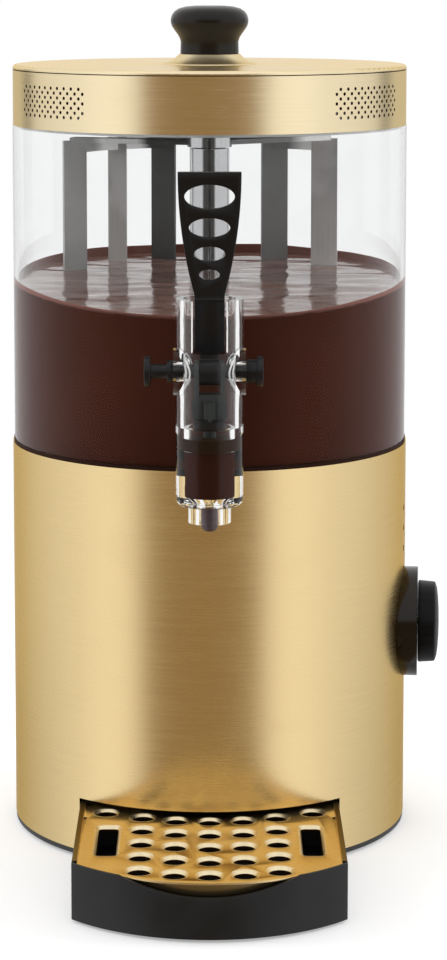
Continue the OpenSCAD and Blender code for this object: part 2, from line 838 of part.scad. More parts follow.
module tap_body() {
  color(clear) translate([0, tap_y, 0]) difference() {
    union() {
      rotate_extrude() polygon(concat([[0, tap_foot_z - nozzle_l], [nozzle_d / 2, tap_foot_z - nozzle_l],
        [nozzle_d / 2, tap_foot_z]],
        [for (a = [0 : 15 : 90]) [tap_r - 4 + 4 * sin(a), tap_foot_z + 4 - 4 * cos(a)]],
        [[tap_r, tap_rim_z], [0, tap_rim_z]]));
      translate([-ear_x, 0, pin_z]) rotate([0, 90, 0]) cylinder(r = ear_r, h = 2 * ear_x);
      translate([0, 0, inlet_z]) rotate([-90, 0, 0])
        cylinder(d = inlet_d, h = tap_reach - bowl_r - outlet_l - washer_t);
      translate([0, 0, inlet_z]) rotate([-90, 0, 0]) cylinder(r = stub_r, h = tap_reach - bowl_ri - 0.6);
    }
    // bores from the open rim down to the nozzle
    translate([0, 0, mouth_z]) cylinder(r = mouth_r, h = tap_rim_z - mouth_z + 1);
    translate([0, 0, chamber_top_z]) cylinder(d = piston_bore_d, h = mouth_z - chamber_top_z + eps);
    rotate_extrude() polygon([[0, tap_foot_z - nozzle_l - 1], [nozzle_bore_d / 2, tap_foot_z - nozzle_l - 1],
      [nozzle_bore_d / 2, seat_z], [chamber_r, seat_z + seat_h], [chamber_r, chamber_top_z + eps],
      [0, chamber_top_z + eps]]);
    translate([0, 0, inlet_z]) rotate([-90, 0, 0]) cylinder(d = inlet_bore_d, h = tap_reach);
    translate([-ear_x - 1, 0, pin_z]) rotate([0, 90, 0]) cylinder(r = pin_r + running, h = 2 * ear_x + 2);
    // slot through which the lever is pulled forward
    translate([-slot_w / 2, -tap_r - 2, slot_z]) cube([slot_w, tap_r + 2, tap_rim_z - slot_z + 1]);
  }
}

module tap_washer() {
  color(black) translate([0, -bowl_r - outlet_l, inlet_z]) rotate([90, 0, 0])
    tube(inlet_d / 2, stub_r + 0.2, washer_t);
}

// Drink that stands in the chamber and in the pipe; the plunger's path stays free
module tap_drink() {
  top_z = chamber_top_z - near;
  plug_top = seat_z + seat_h + 3 + lift + near;
  color(cocoa) translate([0, tap_y, 0]) difference() {
    union() {
      translate([0, 0, seat_z + seat_h]) cylinder(r = chamber_r - running, h = top_z - seat_z - seat_h);
      translate([0, 0, inlet_z]) rotate([-90, 0, 0])
        cylinder(r = inlet_bore_d / 2 - running, h = tap_reach - bowl_ri - 0.8);
    }
    translate([0, 0, seat_z]) cylinder(r = chamber_r - 1, h = plug_top - seat_z);
    translate([0, 0, seat_z]) cylinder(r = stem_r + near, h = chamber_top_z - seat_z);
  }
}

module lever_pin() {
  color(black) translate([0, tap_y, pin_z]) rotate([0, 90, 0]) {
    translate([0, 0, -pin_left + 1]) cylinder(r = pin_r, h = pin_left + pin_right - 2);
    translate([0, 0, -pin_left]) cylinder(r = pin_disc_r, h = pin_disc_t);
    translate([0, 0, pin_right - pin_disc_t]) cylinder(r = pin_disc_r, h = pin_disc_t);
    translate([0, 0, ear_x + near]) cylinder(r = 6.6, h = pin_right - ear_x - pin_disc_t);
    translate([0, 0, -ear_x - near - 3]) cylinder(r = 6.2, h = 3);
  }
}

// Outline of the lever seen from the front, with its holes
module lever_front() {
  top_h = lever_top_z - neck_z;
  side_x = lever_side_r - lever_w / 2;
  difference() {
    union() {
      intersection() {
        translate([-lever_w / 2, 0]) square([lever_w, top_h]);
        lever_side_disc(1, side_x, top_h);
        lever_side_disc(-1, side_x, top_h);
      }
      translate([-neck_w / 2, 0]) square([neck_w, tap_rim_z - neck_z + 6]);
    }
    for (hole = lever_holes) translate([0, top_h - hole[0]]) oval(hole[1], hole[2]);
  }
}

// Disc whose edge is one curved side of the lever
module lever_side_disc(side, side_x, top_h) {
  translate([side * side_x, top_h]) circle(r = lever_side_r, $fn = 360);
}

module tap_lever() {
  color(black) translate([0, tap_y, 0]) difference() {
    union() {
      translate([0, lever_t / 2, neck_z]) rotate([90, 0, 0]) linear_extrude(lever_t) lever_front();
      translate([-neck_w / 2, -lever_t / 2 - lever_rib_out, tap_rim_z - lever_rib_h])
        cube([neck_w, lever_t / 2 + lever_rib_out, lever_rib_h]);
      translate([-lever_hub_w / 2, -lever_t / 2, pin_z]) cube([lever_hub_w, lever_t, neck_z - pin_z + 1]);
      translate([-lever_hub_w / 2, 0, pin_z]) rotate([0, 90, 0]) cylinder(r = lever_hub_r, h = lever_hub_w);
      translate([-lever_hub_w / 2, peg_offset, pin_z]) rotate([0, 90, 0])
        cylinder(r = peg_r + 2.4, h = lever_hub_w);
      translate([-yoke_x - yoke_t, peg_offset, pin_z]) rotate([0, 90, 0])
        cylinder(r = peg_r, h = 2 * (yoke_x + yoke_t));
    }
    translate([-lever_hub_w, 0, pin_z]) rotate([0, 90, 0]) cylinder(r = pin_r + running, h = 2 * lever_hub_w);
  }
}

// Side view of one yoke plate, as [y, z] about the pin: slots for the pin and for the lever's peg
module yoke_side() {
  pin_slot_r = pin_r + loose;
  peg_slot_r = peg_r + near;
  peg_in = peg_offset * cos(lever_pull);
  below = pin_z - crosshead_top;
  difference() {
    union() {
      circle(r = pin_slot_r + 2);
      translate([-pin_slot_r - 2, -below - 1]) square([2 * pin_slot_r + 4, below + 1]);
      translate([0, -peg_slot_r - 2]) square([peg_offset, 2 * peg_slot_r + 4]);
      translate([peg_offset, 0]) circle(r = peg_slot_r + 2);
    }
    circle(r = pin_slot_r);
    translate([-pin_slot_r, -lift - loose]) square([2 * pin_slot_r, lift + loose]);
    translate([0, -lift - loose]) circle(r = pin_slot_r);
    for (y = [peg_in, peg_offset]) translate([y, 0]) circle(r = peg_slot_r);
    translate([peg_in, -peg_slot_r]) square([peg_offset - peg_in, 2 * peg_slot_r]);
  }
}

// Yoke, crosshead, finned stem and the drip tip that shows under the nozzle
module plunger() {
  stem_foot = seat_z + seat_h + 1;
  color([0.16, 0.17, 0.17]) translate([0, tap_y, 0]) {
    for (side = [-1, 1]) translate([side * (yoke_x + yoke_t / 2) - yoke_t / 2, 0, pin_z])
      rotate([90, 0, 90]) linear_extrude(yoke_t) yoke_side();
    translate([-yoke_x - yoke_t, -5, crosshead_top - crosshead_h])
      cube([2 * (yoke_x + yoke_t), 10, crosshead_h]);
    translate([0, 0, stem_foot]) cylinder(r = stem_r, h = crosshead_top - crosshead_h - stem_foot + eps);
    for (turn = [0, 90]) rotate([0, 0, turn])
      translate([-fin_w / 2, -1, collar_z + collar_t])
        cube([fin_w, 2, crosshead_top - crosshead_h - collar_z - collar_t]);
  }
}

module plunger_collar() {
  color(black) translate([0, tap_y, collar_z]) tube(collar_r, stem_r, collar_t);
}

module piston_seal() {
  color([0.10, 0.06, 0.05]) translate([0, tap_y, chamber_top_z + 0.1]) tube(piston_r, stem_r, piston_h);
}

// Rubber cone on the seat, with the tip that reaches through the nozzle
module valve_plug() {
  cone_r = chamber_r - 1 - near;
  bottom_r = nozzle_bore_d / 2 - near * 1.5;
  tip_r = 4.85;
  color([0.30, 0.16, 0.12]) translate([0, tap_y, 0]) difference() {
    rotate_extrude() polygon([[0, tip_z], [3.2, tip_z], [tip_r - 0.4, tip_z + 1.4], [tip_r, tip_z + 3],
      [tip_r, seat_z - 0.5], [bottom_r, seat_z + near], [cone_r, seat_z + seat_h + near],
      [cone_r, seat_z + seat_h + 3], [0, seat_z + seat_h + 3]]);
    translate([0, 0, seat_z + seat_h + 1]) cylinder(r = stem_r, h = 10);
  }
}

// ---------- dial ----------

module dial_bezel() {
  color([0.12, 0.09, 0.07]) difference() {
    on_dial_axis() translate([0, 0, base_r - 12]) cylinder(d = bezel_d, h = bezel_out + 12);
    cylinder(r = base_r + skin, h = base_top_z, $fn = 180);
    on_dial_axis() translate([0, 0, base_r - 14]) cylinder(r = bush_r + running, h = 40);
  }
}

module dial_knob() {
  knob_r = dial_knob_d / 2;
  start = bezel_face + knob_gap;
  color(black) on_dial_axis() difference() {
    rotate_extrude() polygon(concat([[0, start], [knob_r, start], [knob_r - 0.8, start + dial_knob_l]],
      [for (a = [30 : 20 : 90]) [(knob_r - 1.4) * cos(a), start + dial_knob_l + dial_dome_h * sin(a)]],
      [[0, start + dial_knob_l + dial_dome_h]]));
    translate([0, 0, start - 1]) cylinder(r = spindle_d / 2, h = 8);
  }
}

module dial_spindle() {
  color(steel) on_dial_axis() translate([0, 0, thermostat_face - 11])
    cylinder(d = spindle_d, h = bezel_face + knob_gap + 6 - thermostat_face + 11);
}

// ---------- drip tray ----------

module drip_pan() {
  wall_h = tray_rim_z - tray_skirt_z;
  dip_r = (pow(tray_dip_w / 2, 2) + pow(tray_dip, 2)) / (2 * tray_dip);
  color(black) difference() {
    union() {
      translate([0, 0, tray_floor_z]) linear_extrude(tray_rim_z - tray_floor_z) tray_outline(0);
      // in front of the base the skirt reaches down almost to the table
      intersection() {
        translate([0, 0, tray_skirt_z]) linear_extrude(wall_h) tray_outline(0);
        translate([-tray_w, -tray_front_y - 5, 0]) cube([2 * tray_w, tray_front_y + 5 - base_r - 3, wall_h]);
      }
    }
    translate([0, 0, tray_floor_z + tray_t]) linear_extrude(wall_h) tray_outline(tray_t + 1.5);
    // rebate on which the grille lies
    translate([0, 0, grille_z]) linear_extrude(wall_h) tray_outline(tray_t);
    // underside of the skirt is open
    translate([0, 0, tray_skirt_z - eps]) linear_extrude(tray_floor_z - tray_skirt_z) intersection() {
      tray_outline(tray_t);
      translate([-tray_w, -tray_front_y]) square([2 * tray_w, tray_front_y - base_r - 3 - tray_t]);
    }
    // dip in the front wall
    translate([0, -tray_front_y + dip_reach / 2, tray_rim_z - tray_dip + dip_r]) rotate([90, 0, 0])
      cylinder(r = dip_r, h = dip_reach, $fn = 240);
  }
}

// Hole centres of one row lie on a shallow arc
function hole_y(row, column) = -tray_front_y + hole_front_margin + row * hole_pitch_y
  + hole_bow * pow(column / outer_column, 2);

module grille_holes(grow) {
  for (row = [0 : hole_rows - 1], column = [-outer_column : outer_column])
    translate([column * hole_pitch_x, hole_y(row, column)]) long_hole(hole_w + 2 * grow, hole_l + 2 * grow);
  for (side = [-1, 1]) translate([side * corner_hole_x, -corner_hole_y])
    long_hole(hole_w + 2 * grow, hole_l + 2 * grow);
}

module drip_grille() {
  edge = tray_t + grille_gap;
  wall = 0.8;
  hem_top_z = tray_rim_z + running + hem_t;
  hem_l = tray_corner_y - tray_back_y - 2 * edge;
  hem_mid_y = (tray_corner_y + tray_back_y) / 2;
  color(brass) difference() {
    union() {
      translate([0, 0, grille_z]) linear_extrude(grille_t) tray_outline(edge);
      translate([0, 0, grille_z - collar_h]) linear_extrude(collar_h + eps) grille_holes(wall);
      // hems that lie on the pan's side walls
      for (side = [-1, 1]) {
        translate([side * (tray_w / 2 - edge - hem_t / 2), -hem_mid_y, (grille_z + hem_top_z) / 2])
          cube([hem_t, hem_l, hem_top_z - grille_z], center = true);
        translate([side * (tray_w / 2 - (edge + hem_t + near) / 2), -hem_mid_y, hem_top_z - hem_t / 2])
          cube([edge + hem_t - near, hem_l, hem_t], center = true);
      }
      // turned-down front lip behind the dip
      translate([0, 0, grille_z - grille_lip_h]) linear_extrude(grille_lip_h + eps) intersection() {
        difference() {
          tray_outline(edge + 1.4);
          tray_outline(edge + 1.4 + grille_t);
        }
        translate([-tray_dip_w / 2, -tray_front_y]) square([tray_dip_w, dip_reach]);
      }
    }
    translate([0, 0, grille_z - collar_h - 1]) linear_extrude(collar_h + grille_t + 2) grille_holes(0);
    for (side = [-1, 1]) {
      translate([side * finger_x, -finger_y, grille_z - 1]) linear_extrude(grille_t + 2)
        round_rect(finger_w, finger_l, finger_r);
      translate([side * (tray_w / 2 - edge), -notch_y, grille_z + grille_t + near - notch_h / 2])
        cube([2 * notch_in, notch_l, notch_h], center = true);
    }
  }
}

base_plate();
base_feet();
base_screws();
base_shell();
water_bath();
heating_element();
safety_cutout();
thermostat();
motor_bracket();
gearbox();
motor();
motor_screws();
terminal_block();
power_inlet();
bowl_gasket();
bowl();
bowl_floor();
column();
column_bush();
tap_body();
tap_washer();
tap_drink();
lever_pin();
dial_bezel();
lid_cap();
lid_skirt();
lid_seal();
lid_boss();
lid_knob();
lid_screw();
drive_shaft();
stirrer_hub();
left_paddles();
right_paddles();
drink();
tap_lever();
plunger();
plunger_collar();
piston_seal();
valve_plug();
dial_knob();
dial_spindle();
drip_pan();
drip_grille();
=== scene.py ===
"""Looks, light and camera for a counter-top hot chocolate dispenser built around its solid model.

Lengths are metres and angles are radians, in the model's own frame: +Z up, the tap towards -Y.
"""

import math

import bmesh
import bpy
from bpy.props import FloatProperty, FloatVectorProperty, IntProperty, PointerProperty
from mathutils import Matrix, Vector, noise


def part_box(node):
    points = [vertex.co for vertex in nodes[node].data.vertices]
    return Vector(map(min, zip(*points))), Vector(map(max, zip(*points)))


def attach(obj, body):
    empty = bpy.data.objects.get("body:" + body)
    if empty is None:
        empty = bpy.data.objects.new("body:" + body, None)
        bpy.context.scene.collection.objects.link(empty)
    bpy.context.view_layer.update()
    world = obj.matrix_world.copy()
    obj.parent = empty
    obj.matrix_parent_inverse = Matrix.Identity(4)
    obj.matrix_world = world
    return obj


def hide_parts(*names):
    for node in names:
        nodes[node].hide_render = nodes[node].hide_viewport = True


bl_info = {
    "name": "Hot Chocolate Dispenser",
    "version": (1, 0, 0),
    "blender": (4, 5, 0),
    "location": "View3D > Sidebar > Dispenser",
    "description": "Finishes, studio and camera for a hot chocolate dispenser",
    "category": "Object",
}

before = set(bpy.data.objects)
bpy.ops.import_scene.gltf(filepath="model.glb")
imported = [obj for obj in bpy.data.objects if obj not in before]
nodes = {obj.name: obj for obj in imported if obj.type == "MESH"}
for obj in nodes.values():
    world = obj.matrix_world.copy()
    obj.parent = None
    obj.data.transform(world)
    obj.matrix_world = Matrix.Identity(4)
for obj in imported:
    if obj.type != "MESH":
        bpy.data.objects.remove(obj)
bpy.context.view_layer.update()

MM = 0.001
PICTURE_LONG_SIDE = 960  # pixels of the picture's height
SENSOR = 36.0  # millimetres on the picture's long side
WHITE = (1.0, 1.0, 1.0, 1.0)

# Meshes
TURNED_STEPS = 96  # steps round a turned piece
SAME_POINT = 0.002 * MM  # points closer than this are joined
FLAT_TURN = math.radians(0.5)  # faces that turn by less are taken as one
SHADED_TURN = math.radians(35)  # edges that turn by more are shaded sharp
EASED_TURN = math.radians(40)  # edges that turn by more are rounded off


# ---------- sizes of the solid model and fits to it ----------

drink_low, drink_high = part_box("drink")
tap_drink_low, tap_drink_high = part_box("tap_drink")
floor_low, floor_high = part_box("bowl_floor")
seal_low, seal_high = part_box("piston_seal")
collar_low, collar_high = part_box("plunger_collar")
shaft_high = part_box("drive_shaft")[1]

CONTACT = 0.05 * MM  # depth by which the drink reaches into the clear wall that it wets
DRINK_GAP = 0.3 * MM  # gap between the solid model's drink and the bowl
SEAL_GAP = 0.05 * MM  # gap between the solid model's tap pieces and their bores
WALL_RADIUS = drink_high.x + DRINK_GAP
TUBE_RADIUS = shaft_high.x + 8.5 * MM  # outside of the column, round the shaft
TAP_AXIS_Y = (collar_low.y + collar_high.y) / 2
TAP_BORE = 14.0 * MM  # radius of the tap's bore at the pin
PIN_RIMS = (9.9 * MM, 7.6 * MM)  # radii of the two pale rims, painted highlights, round each hole of the pin
PIN_RIM_THICK = 0.38 * MM
BAND_HOLE = 2.6 * MM  # radius of the seal band's hole, inside the plunger's stem
LID_SHADE = {"lid_skirt": 0.15 * MM, "lid_cap": 0.8 * MM}  # depth from which the lid gets painted shade
COLLAR_HOLE = 8.0 * MM  # radius of the dial collar's hole, round the spindle
COLLAR_GAP = 0.25 * MM  # from the bezel to the dial's collar
COLLAR_STEP = 1.2 * MM  # by which the dial's collar is smaller than the dial

# Outlines of turned pieces, as (radius, height) above the piece's foot in millimetres
BOSS_OUTLINE = (
    (3.05, 0.0), (28.9, 0.0), (28.6, 0.4), (26.2, 0.9), (23.8, 1.7), (21.8, 2.8), (20.2, 4.1), (19.0, 5.3),
    (18.4, 5.95), (3.05, 5.95), (3.05, 0.0),
)  # fmt: skip
KNOB_OUTLINE = (
    (0.0, 14.0), (3.05, 14.0), (3.05, 0.0), (17.2, 0.0), (17.6, 0.5), (17.5, 4.0), (17.4, 7.3), (18.0, 9.5),
    (19.4, 11.9), (21.2, 14.3), (22.7, 16.6), (23.4, 19.0), (23.4, 21.0), (22.7, 23.4), (21.2, 25.5),
    (18.7, 27.2), (14.5, 28.4), (9.0, 28.9), (0.0, 29.0),
)  # fmt: skip

# Pressed rim of a hole in the grille, as (outwards, upwards) from the hole's edge in millimetres
FUNNEL_OUTLINE = (
    (0.55, 0.04), (0.2, 0.10), (-0.25, -0.15), (-0.7, -1.0), (-1.15, -1.9), (-1.75, -3.6), (-1.9, -3.6),
    (-1.35, -2.0), (-0.9, -1.1), (-0.45, -0.3),
)  # fmt: skip
GRILLE_HEM = 6 * MM  # width of the grille's side hems
HEM_PAINTED_SHADE = 2.6 * MM  # width of the hems that gets painted shade
LIP_DEPTH = 4 * MM  # depth of the lip in front that gets painted shade; it follows the bow of the edge
LIP_DROP = 1.5 * MM  # from the grille's top to where the lip's painted shade starts
FUNNEL_SHADE = 1.7 * MM  # from the grille's top to where the funnels get painted shadow
LARGEST_HOLE = 20 * MM  # a longer outline is no drain hole
FEWEST_POINTS = 8  # of a hole's outline

# Painted light and shade on the paddles: brightness by their place, from 0 at the left end of the reach to 1
# at its right end
PADDLE_REACH = 100 * MM
PADDLE_PAINTED_LIGHT = (
    (0.0, 0.95), (0.14, 0.95), (0.17, 2.1), (0.28, 2.1), (0.31, 0.2), (0.48, 0.2), (0.52, 0.55), (0.75, 0.55),
    (0.8, 2.1), (1.0, 2.1),
)  # fmt: skip

# Bands of the studio by height, where 0 is level and 1 straight up
CEILING = (0.13, 0.30)  # from the dark side to the white ceiling
EYE_LEVEL = (-0.14, -0.07)  # from the dark side's colour to the one at eye level
UPPER_LIGHT = (-0.02, 0.03)  # from where the sides fall off to where they don't
LOWER_LIGHT = (-0.27, -0.23)  # from where the low sides are dimmed to where they aren't
FLAG_FOOT = (-0.12, -0.07)
FLAG_HEAD = (0.10, 0.25)

# Bands of the studio by bearing, away from the middle of the dark side
BACK_FALL = (math.radians(60), math.radians(150))  # the light falls off towards the back
PEAK_FALL = (math.radians(5), math.radians(24))  # the brightest part falls off, away from its own middle
SIDE_DIM = (math.radians(55), math.radians(110))  # the low sides grow dim

FLOOR_FADE = (0.26, 0.9)  # distances from the axis between which the floor turns into the backdrop
LAMP_AIM = Vector((0.0, 0.0, 0.25))
# Name, place, side of the square and share of the side lamps' power
LAMPS = (
    ("Left Lamp", (-1.5, 0.15, 0.8), 1.0, 1.0),
    ("Right Lamp", (1.5, 0.15, 0.8), 1.0, 1.0),
    ("Top Lamp", (0.0, 0.1, 1.9), 0.9, 0.7),
)


# ---------- settings ----------


class DispenserStudio(bpy.types.PropertyGroup):
    """Camera, floor and light."""

    camera_distance: FloatProperty(
        name="Camera Distance", description="From the bowl's axis", default=1.68, unit="LENGTH"
    )
    camera_height: FloatProperty(
        name="Camera Height", description="Above the table", default=0.5223, unit="LENGTH"
    )
    camera_tilt: FloatProperty(
        name="Camera Tilt",
        description="Downward tilt of the camera",
        default=math.radians(6.606),
        subtype="ANGLE",
    )
    focal_pixels: FloatProperty(
        name="Focal Length", description="In pixels of the picture's height", default=2776.0
    )
    shift_right: FloatProperty(
        name="Shift Right", description="Share of the picture's long side", default=0.0145
    )
    shift_up: FloatProperty(name="Shift Up", description="Share of the picture's long side", default=-0.2)
    floor_size: FloatProperty(name="Floor Size", description="Side of the floor", default=8.0, unit="LENGTH")
    dark_centre: FloatProperty(
        name="Dark Side Centre",
        description="Bearing of the dark side of the studio from the front, towards the right",
        default=math.radians(-4.5),
        subtype="ANGLE",
    )
    dark_half: FloatProperty(
        name="Dark Side Half Width",
        description="Half the width of the dark side of the studio",
        default=math.radians(35),
        subtype="ANGLE",
    )
    dark_fade: FloatProperty(
        name="Dark Side Fade",
        description="Angle over which the dark side fades",
        default=math.radians(13),
        subtype="ANGLE",
    )
    dark_colour: FloatVectorProperty(
        name="Dark Side Colour",
        description="What shiny pieces mirror on the dark side",
        default=(0.33, 0.24, 0.14),
        subtype="COLOR",
    )
    dark_level_colour: FloatVectorProperty(
        name="Dark Side Colour at Eye Level",
        description="What shiny pieces at eye level mirror on the dark side",
        default=(0.285, 0.19, 0.09),
        subtype="COLOR",
    )
    dark_inside: FloatVectorProperty(
        name="Dark Side Colour Inside",
        description="What pieces behind clear walls mirror on the dark side",
        default=(0.10, 0.095, 0.09),
        subtype="COLOR",
    )
    peak_bearing: FloatProperty(
        name="Soft Light Bearing",
        description="Bearing of the brightest part of the soft light on both sides",
        default=math.radians(52),
        subtype="ANGLE",
    )
    peak_light: FloatProperty(
        name="Soft Light Peak", description="Strength of the brightest part of the soft light", default=1.12
    )
    flag_bearing: FloatProperty(
        name="Dark Flag Bearing",
        description="Bearing of the narrow dark flags behind both sides of the machine",
        default=math.radians(127),
        subtype="ANGLE",
    )
    flag_half: FloatProperty(
        name="Dark Flag Half Width",
        description="Half the width of a dark flag",
        default=math.radians(6.5),
        subtype="ANGLE",
    )
    room_light: FloatProperty(
        name="Room Light", description="Strength of the light from all sides", default=0.72
    )
    side_light: FloatProperty(
        name="Side Light", description="Power of each side lamp", default=16.0, unit="POWER"
    )


class DispenserFinish(bpy.types.PropertyGroup):
    """Colours of the finishes."""

    gold: FloatVectorProperty(
        name="Gold", description="Brushed sheet metal", default=(0.82, 0.635, 0.335), subtype="COLOR"
    )
    lid_gold: FloatVectorProperty(
        name="Lid Gold", description="Sheet metal of the lid", default=(0.88, 0.745, 0.49), subtype="COLOR"
    )
    chocolate: FloatVectorProperty(
        name="Chocolate", description="The drink", default=(0.055, 0.0165, 0.0100), subtype="COLOR"
    )
    film: FloatVectorProperty(
        name="Film",
        description="Thin drink on the bowl's wall",
        default=(0.19, 0.076, 0.058),
        subtype="COLOR",
    )
    foam: FloatVectorProperty(
        name="Foam",
        description="Pale stirred skin on the drink",
        default=(0.21, 0.120, 0.097),
        subtype="COLOR",
    )
    steel: FloatVectorProperty(
        name="Steel", description="Stainless steel", default=(0.54, 0.54, 0.55), subtype="COLOR"
    )
    paddle: FloatVectorProperty(
        name="Paddle", description="Grey paddles", default=(0.44, 0.44, 0.435), subtype="COLOR"
    )
    black: FloatVectorProperty(
        name="Black Plastic",
        description="Lever, pin and dial",
        default=(0.005, 0.005, 0.006),
        subtype="COLOR",
    )
    charcoal: FloatVectorProperty(
        name="Charcoal Plastic", description="Drip pan", default=(0.012, 0.012, 0.013), subtype="COLOR"
    )
    clear: FloatVectorProperty(
        name="Clear Plastic", description="Bowl and tap", default=(0.95, 0.955, 0.955), subtype="COLOR"
    )


class DispenserShape(bpy.types.PropertyGroup):
    """Sizes of the pieces that are made here."""

    ripple: FloatProperty(
        name="Ripple Height", description="Height of the drink's ripples", default=0.8 * MM, unit="LENGTH"
    )
    heap: FloatProperty(
        name="Heap",
        description="Rise of the stirred drink from the front to the back",
        default=14.0 * MM,
        unit="LENGTH",
    )
    film_front: FloatProperty(
        name="Film at the Front",
        description="Height of the wet rim in front",
        default=1.0 * MM,
        unit="LENGTH",
    )
    film_back: FloatProperty(
        name="Film at the Back",
        description="Height of the wet rim at the back",
        default=5.8 * MM,
        unit="LENGTH",
    )
    surface_rings: IntProperty(name="Surface Rings", description="Rings of the drink's surface", default=64)
    surface_steps: IntProperty(name="Surface Steps", description="Steps round the drink", default=192)


def studio():
    """Settings of the studio."""
    return bpy.context.scene.dispenser_studio


def finish():
    """Settings of the finishes."""
    return bpy.context.scene.dispenser_finish


def shape():
    """Settings of the pieces made here."""
    return bpy.context.scene.dispenser_shape


# ---------- node trees ----------


def feed(tree, value, socket):
    """Gives a socket a plain value, or joins another node's output to it."""
    if isinstance(value, bpy.types.NodeSocket):
        tree.links.new(value, socket)
    else:
        socket.default_value = value


def set_inputs(node, values):
    """Sets a node's own inputs, given by name."""
    for name, value in values.items():
        node.inputs[name].default_value = value


def math_node(tree, operation, first, second=0.0):
    """Output of a Math node; each operand is a number or an output."""
    made = tree.nodes.new("ShaderNodeMath")
    made.operation = operation
    feed(tree, first, made.inputs[0])
    feed(tree, second, made.inputs[1])
    return made.outputs[0]


def times(tree, first, second):
    """Output of a product."""
    return math_node(tree, "MULTIPLY", first, second)


def plus(tree, first, second):
    """Output of a sum."""
    return math_node(tree, "ADD", first, second)


def apart(tree, value, centre):
    """Output of the distance of a value from a centre."""
    return math_node(tree, "ABSOLUTE", math_node(tree, "SUBTRACT", value, centre))


def weakened(tree, value, share):
    """Output of a value that loses a share of itself."""
    return times(tree, value, math_node(tree, "SUBTRACT", 1.0, share))


def ramp(tree, value, low, high, start=0.0, end=1.0, kind="LINEAR"):
    """Output that goes from start to end while a value goes from low to high."""
    made = tree.nodes.new("ShaderNodeMapRange")
    made.interpolation_type = kind
    tree.links.new(value, made.inputs["Value"])
    set_inputs(made, {"From Min": low, "From Max": high, "To Min": start, "To Max": end})
    return made.outputs["Result"]


def soft_ramp(tree, value, low, high, start=0.0, end=1.0):
    """The same as a ramp, with soft ends."""
    return ramp(tree, value, low, high, start, end, "SMOOTHSTEP")


def mix_colour(tree, share, first, second):
    """Output that mixes two colours, each a tuple or an output."""
    made = tree.nodes.new("ShaderNodeMix")
    made.data_type = "RGBA"
    tree.links.new(share, made.inputs["Factor"])
    feed(tree, first, made.inputs[6])
    feed(tree, second, made.inputs[7])
    return made.outputs[2]


def noise_node(tree, vector, scale, detail=2.0, roughness=0.5, distortion=0.0):
    """Factor output of a noise texture; its scale is a number or an output."""
    made = tree.nodes.new("ShaderNodeTexNoise")
    tree.links.new(vector, made.inputs["Vector"])
    feed(tree, scale, made.inputs["Scale"])
    set_inputs(made, {"Detail": detail, "Roughness": roughness, "Distortion": distortion})
    return made.outputs["Fac"]


def multiplied(tree, vector, factors):
    """Output of a vector or colour multiplied by a tuple or an output."""
    made = tree.nodes.new("ShaderNodeVectorMath")
    made.operation = "MULTIPLY"
    tree.links.new(vector, made.inputs[0])
    feed(tree, factors, made.inputs[1])
    return made.outputs["Vector"]


def split(tree, vector):
    """The X, Y and Z outputs of a vector."""
    made = tree.nodes.new("ShaderNodeSeparateXYZ")
    tree.links.new(vector, made.inputs[0])
    return made.outputs


def object_point(tree):
    """The point on the piece, in metres of the model's frame."""
    return tree.nodes.new("ShaderNodeTexCoord").outputs["Object"]


def mix_shaders(tree, share, first, second):
    """A Mix Shader node between two shader nodes."""
    made = tree.nodes.new("ShaderNodeMixShader")
    tree.links.new(share, made.inputs["Fac"])
    tree.links.new(first.outputs[0], made.inputs[1])
    tree.links.new(second.outputs[0], made.inputs[2])
    return made


def new_group(name, inputs, outputs):
    """A node group with a Point, other inputs with their defaults and float outputs, and its inner ends."""
    group = bpy.data.node_groups.new(name, "ShaderNodeTree")
    group.interface.new_socket("Point", in_out="INPUT", socket_type="NodeSocketVector")
    for label, value in inputs.items():
        kind = "NodeSocketVector" if isinstance(value, tuple) else "NodeSocketFloat"
        group.interface.new_socket(label, in_out="INPUT", socket_type=kind).default_value = value
    for label in outputs:
        group.interface.new_socket(label, in_out="OUTPUT", socket_type="NodeSocketFloat")
    return group, group.nodes.new("NodeGroupInput").outputs, group.nodes.new("NodeGroupOutput").inputs


def use_group(tree, name, point, **values):
    """Outputs of a shared group placed in a tree, with its inputs set by name."""
    made = tree.nodes.new("ShaderNodeGroup")
    made.node_tree = bpy.data.node_groups[name]
    tree.links.new(point, made.inputs["Point"])
    set_inputs(made, {key.title(): value for key, value in values.items()})
    return made.outputs


def turned_grain_group():
    """Fine lines round the Z axis, as on sheet metal that was brushed while it turned."""
    group, entry, leave = new_group("Turned Grain", {"Lines": 4000.0, "Runs": 30.0}, ("Grain",))
    x, y, z = split(group, entry["Point"])
    radius = math_node(group, "SQRT", plus(group, times(group, x, x), times(group, y, y)))
    flat = group.nodes.new("ShaderNodeCombineXYZ")
    group.links.new(times(group, x, entry["Runs"]), flat.inputs[0])
    group.links.new(times(group, y, entry["Runs"]), flat.inputs[1])
    group.links.new(times(group, plus(group, z, radius), entry["Lines"]), flat.inputs[2])
    group.links.new(noise_node(group, flat.outputs[0], 1.0, 3.0, 0.6), leave["Grain"])


def straight_grain_group():
    """Fine lines along one axis, as on a brushed strip."""
    group, entry, leave = new_group("Straight Grain", {"Stretch": (40.0, 3000.0, 3000.0)}, ("Grain",))
    drawn = multiplied(group, entry["Point"], entry["Stretch"])
    group.links.new(noise_node(group, drawn, 1.0, 3.0, 0.6), leave["Grain"])


def handling_group():
    """Soft smudges and streaks that handling leaves on a smooth surface."""
    group, entry, leave = new_group("Handling Marks", {"Size": 35.0, "Amount": 0.5}, ("Marks",))
    cloud = noise_node(group, entry["Point"], entry["Size"], 4.0, distortion=0.8)
    patches = soft_ramp(group, cloud, 0.45, 0.72)
    group.links.new(times(group, patches, entry["Amount"]), leave["Marks"])


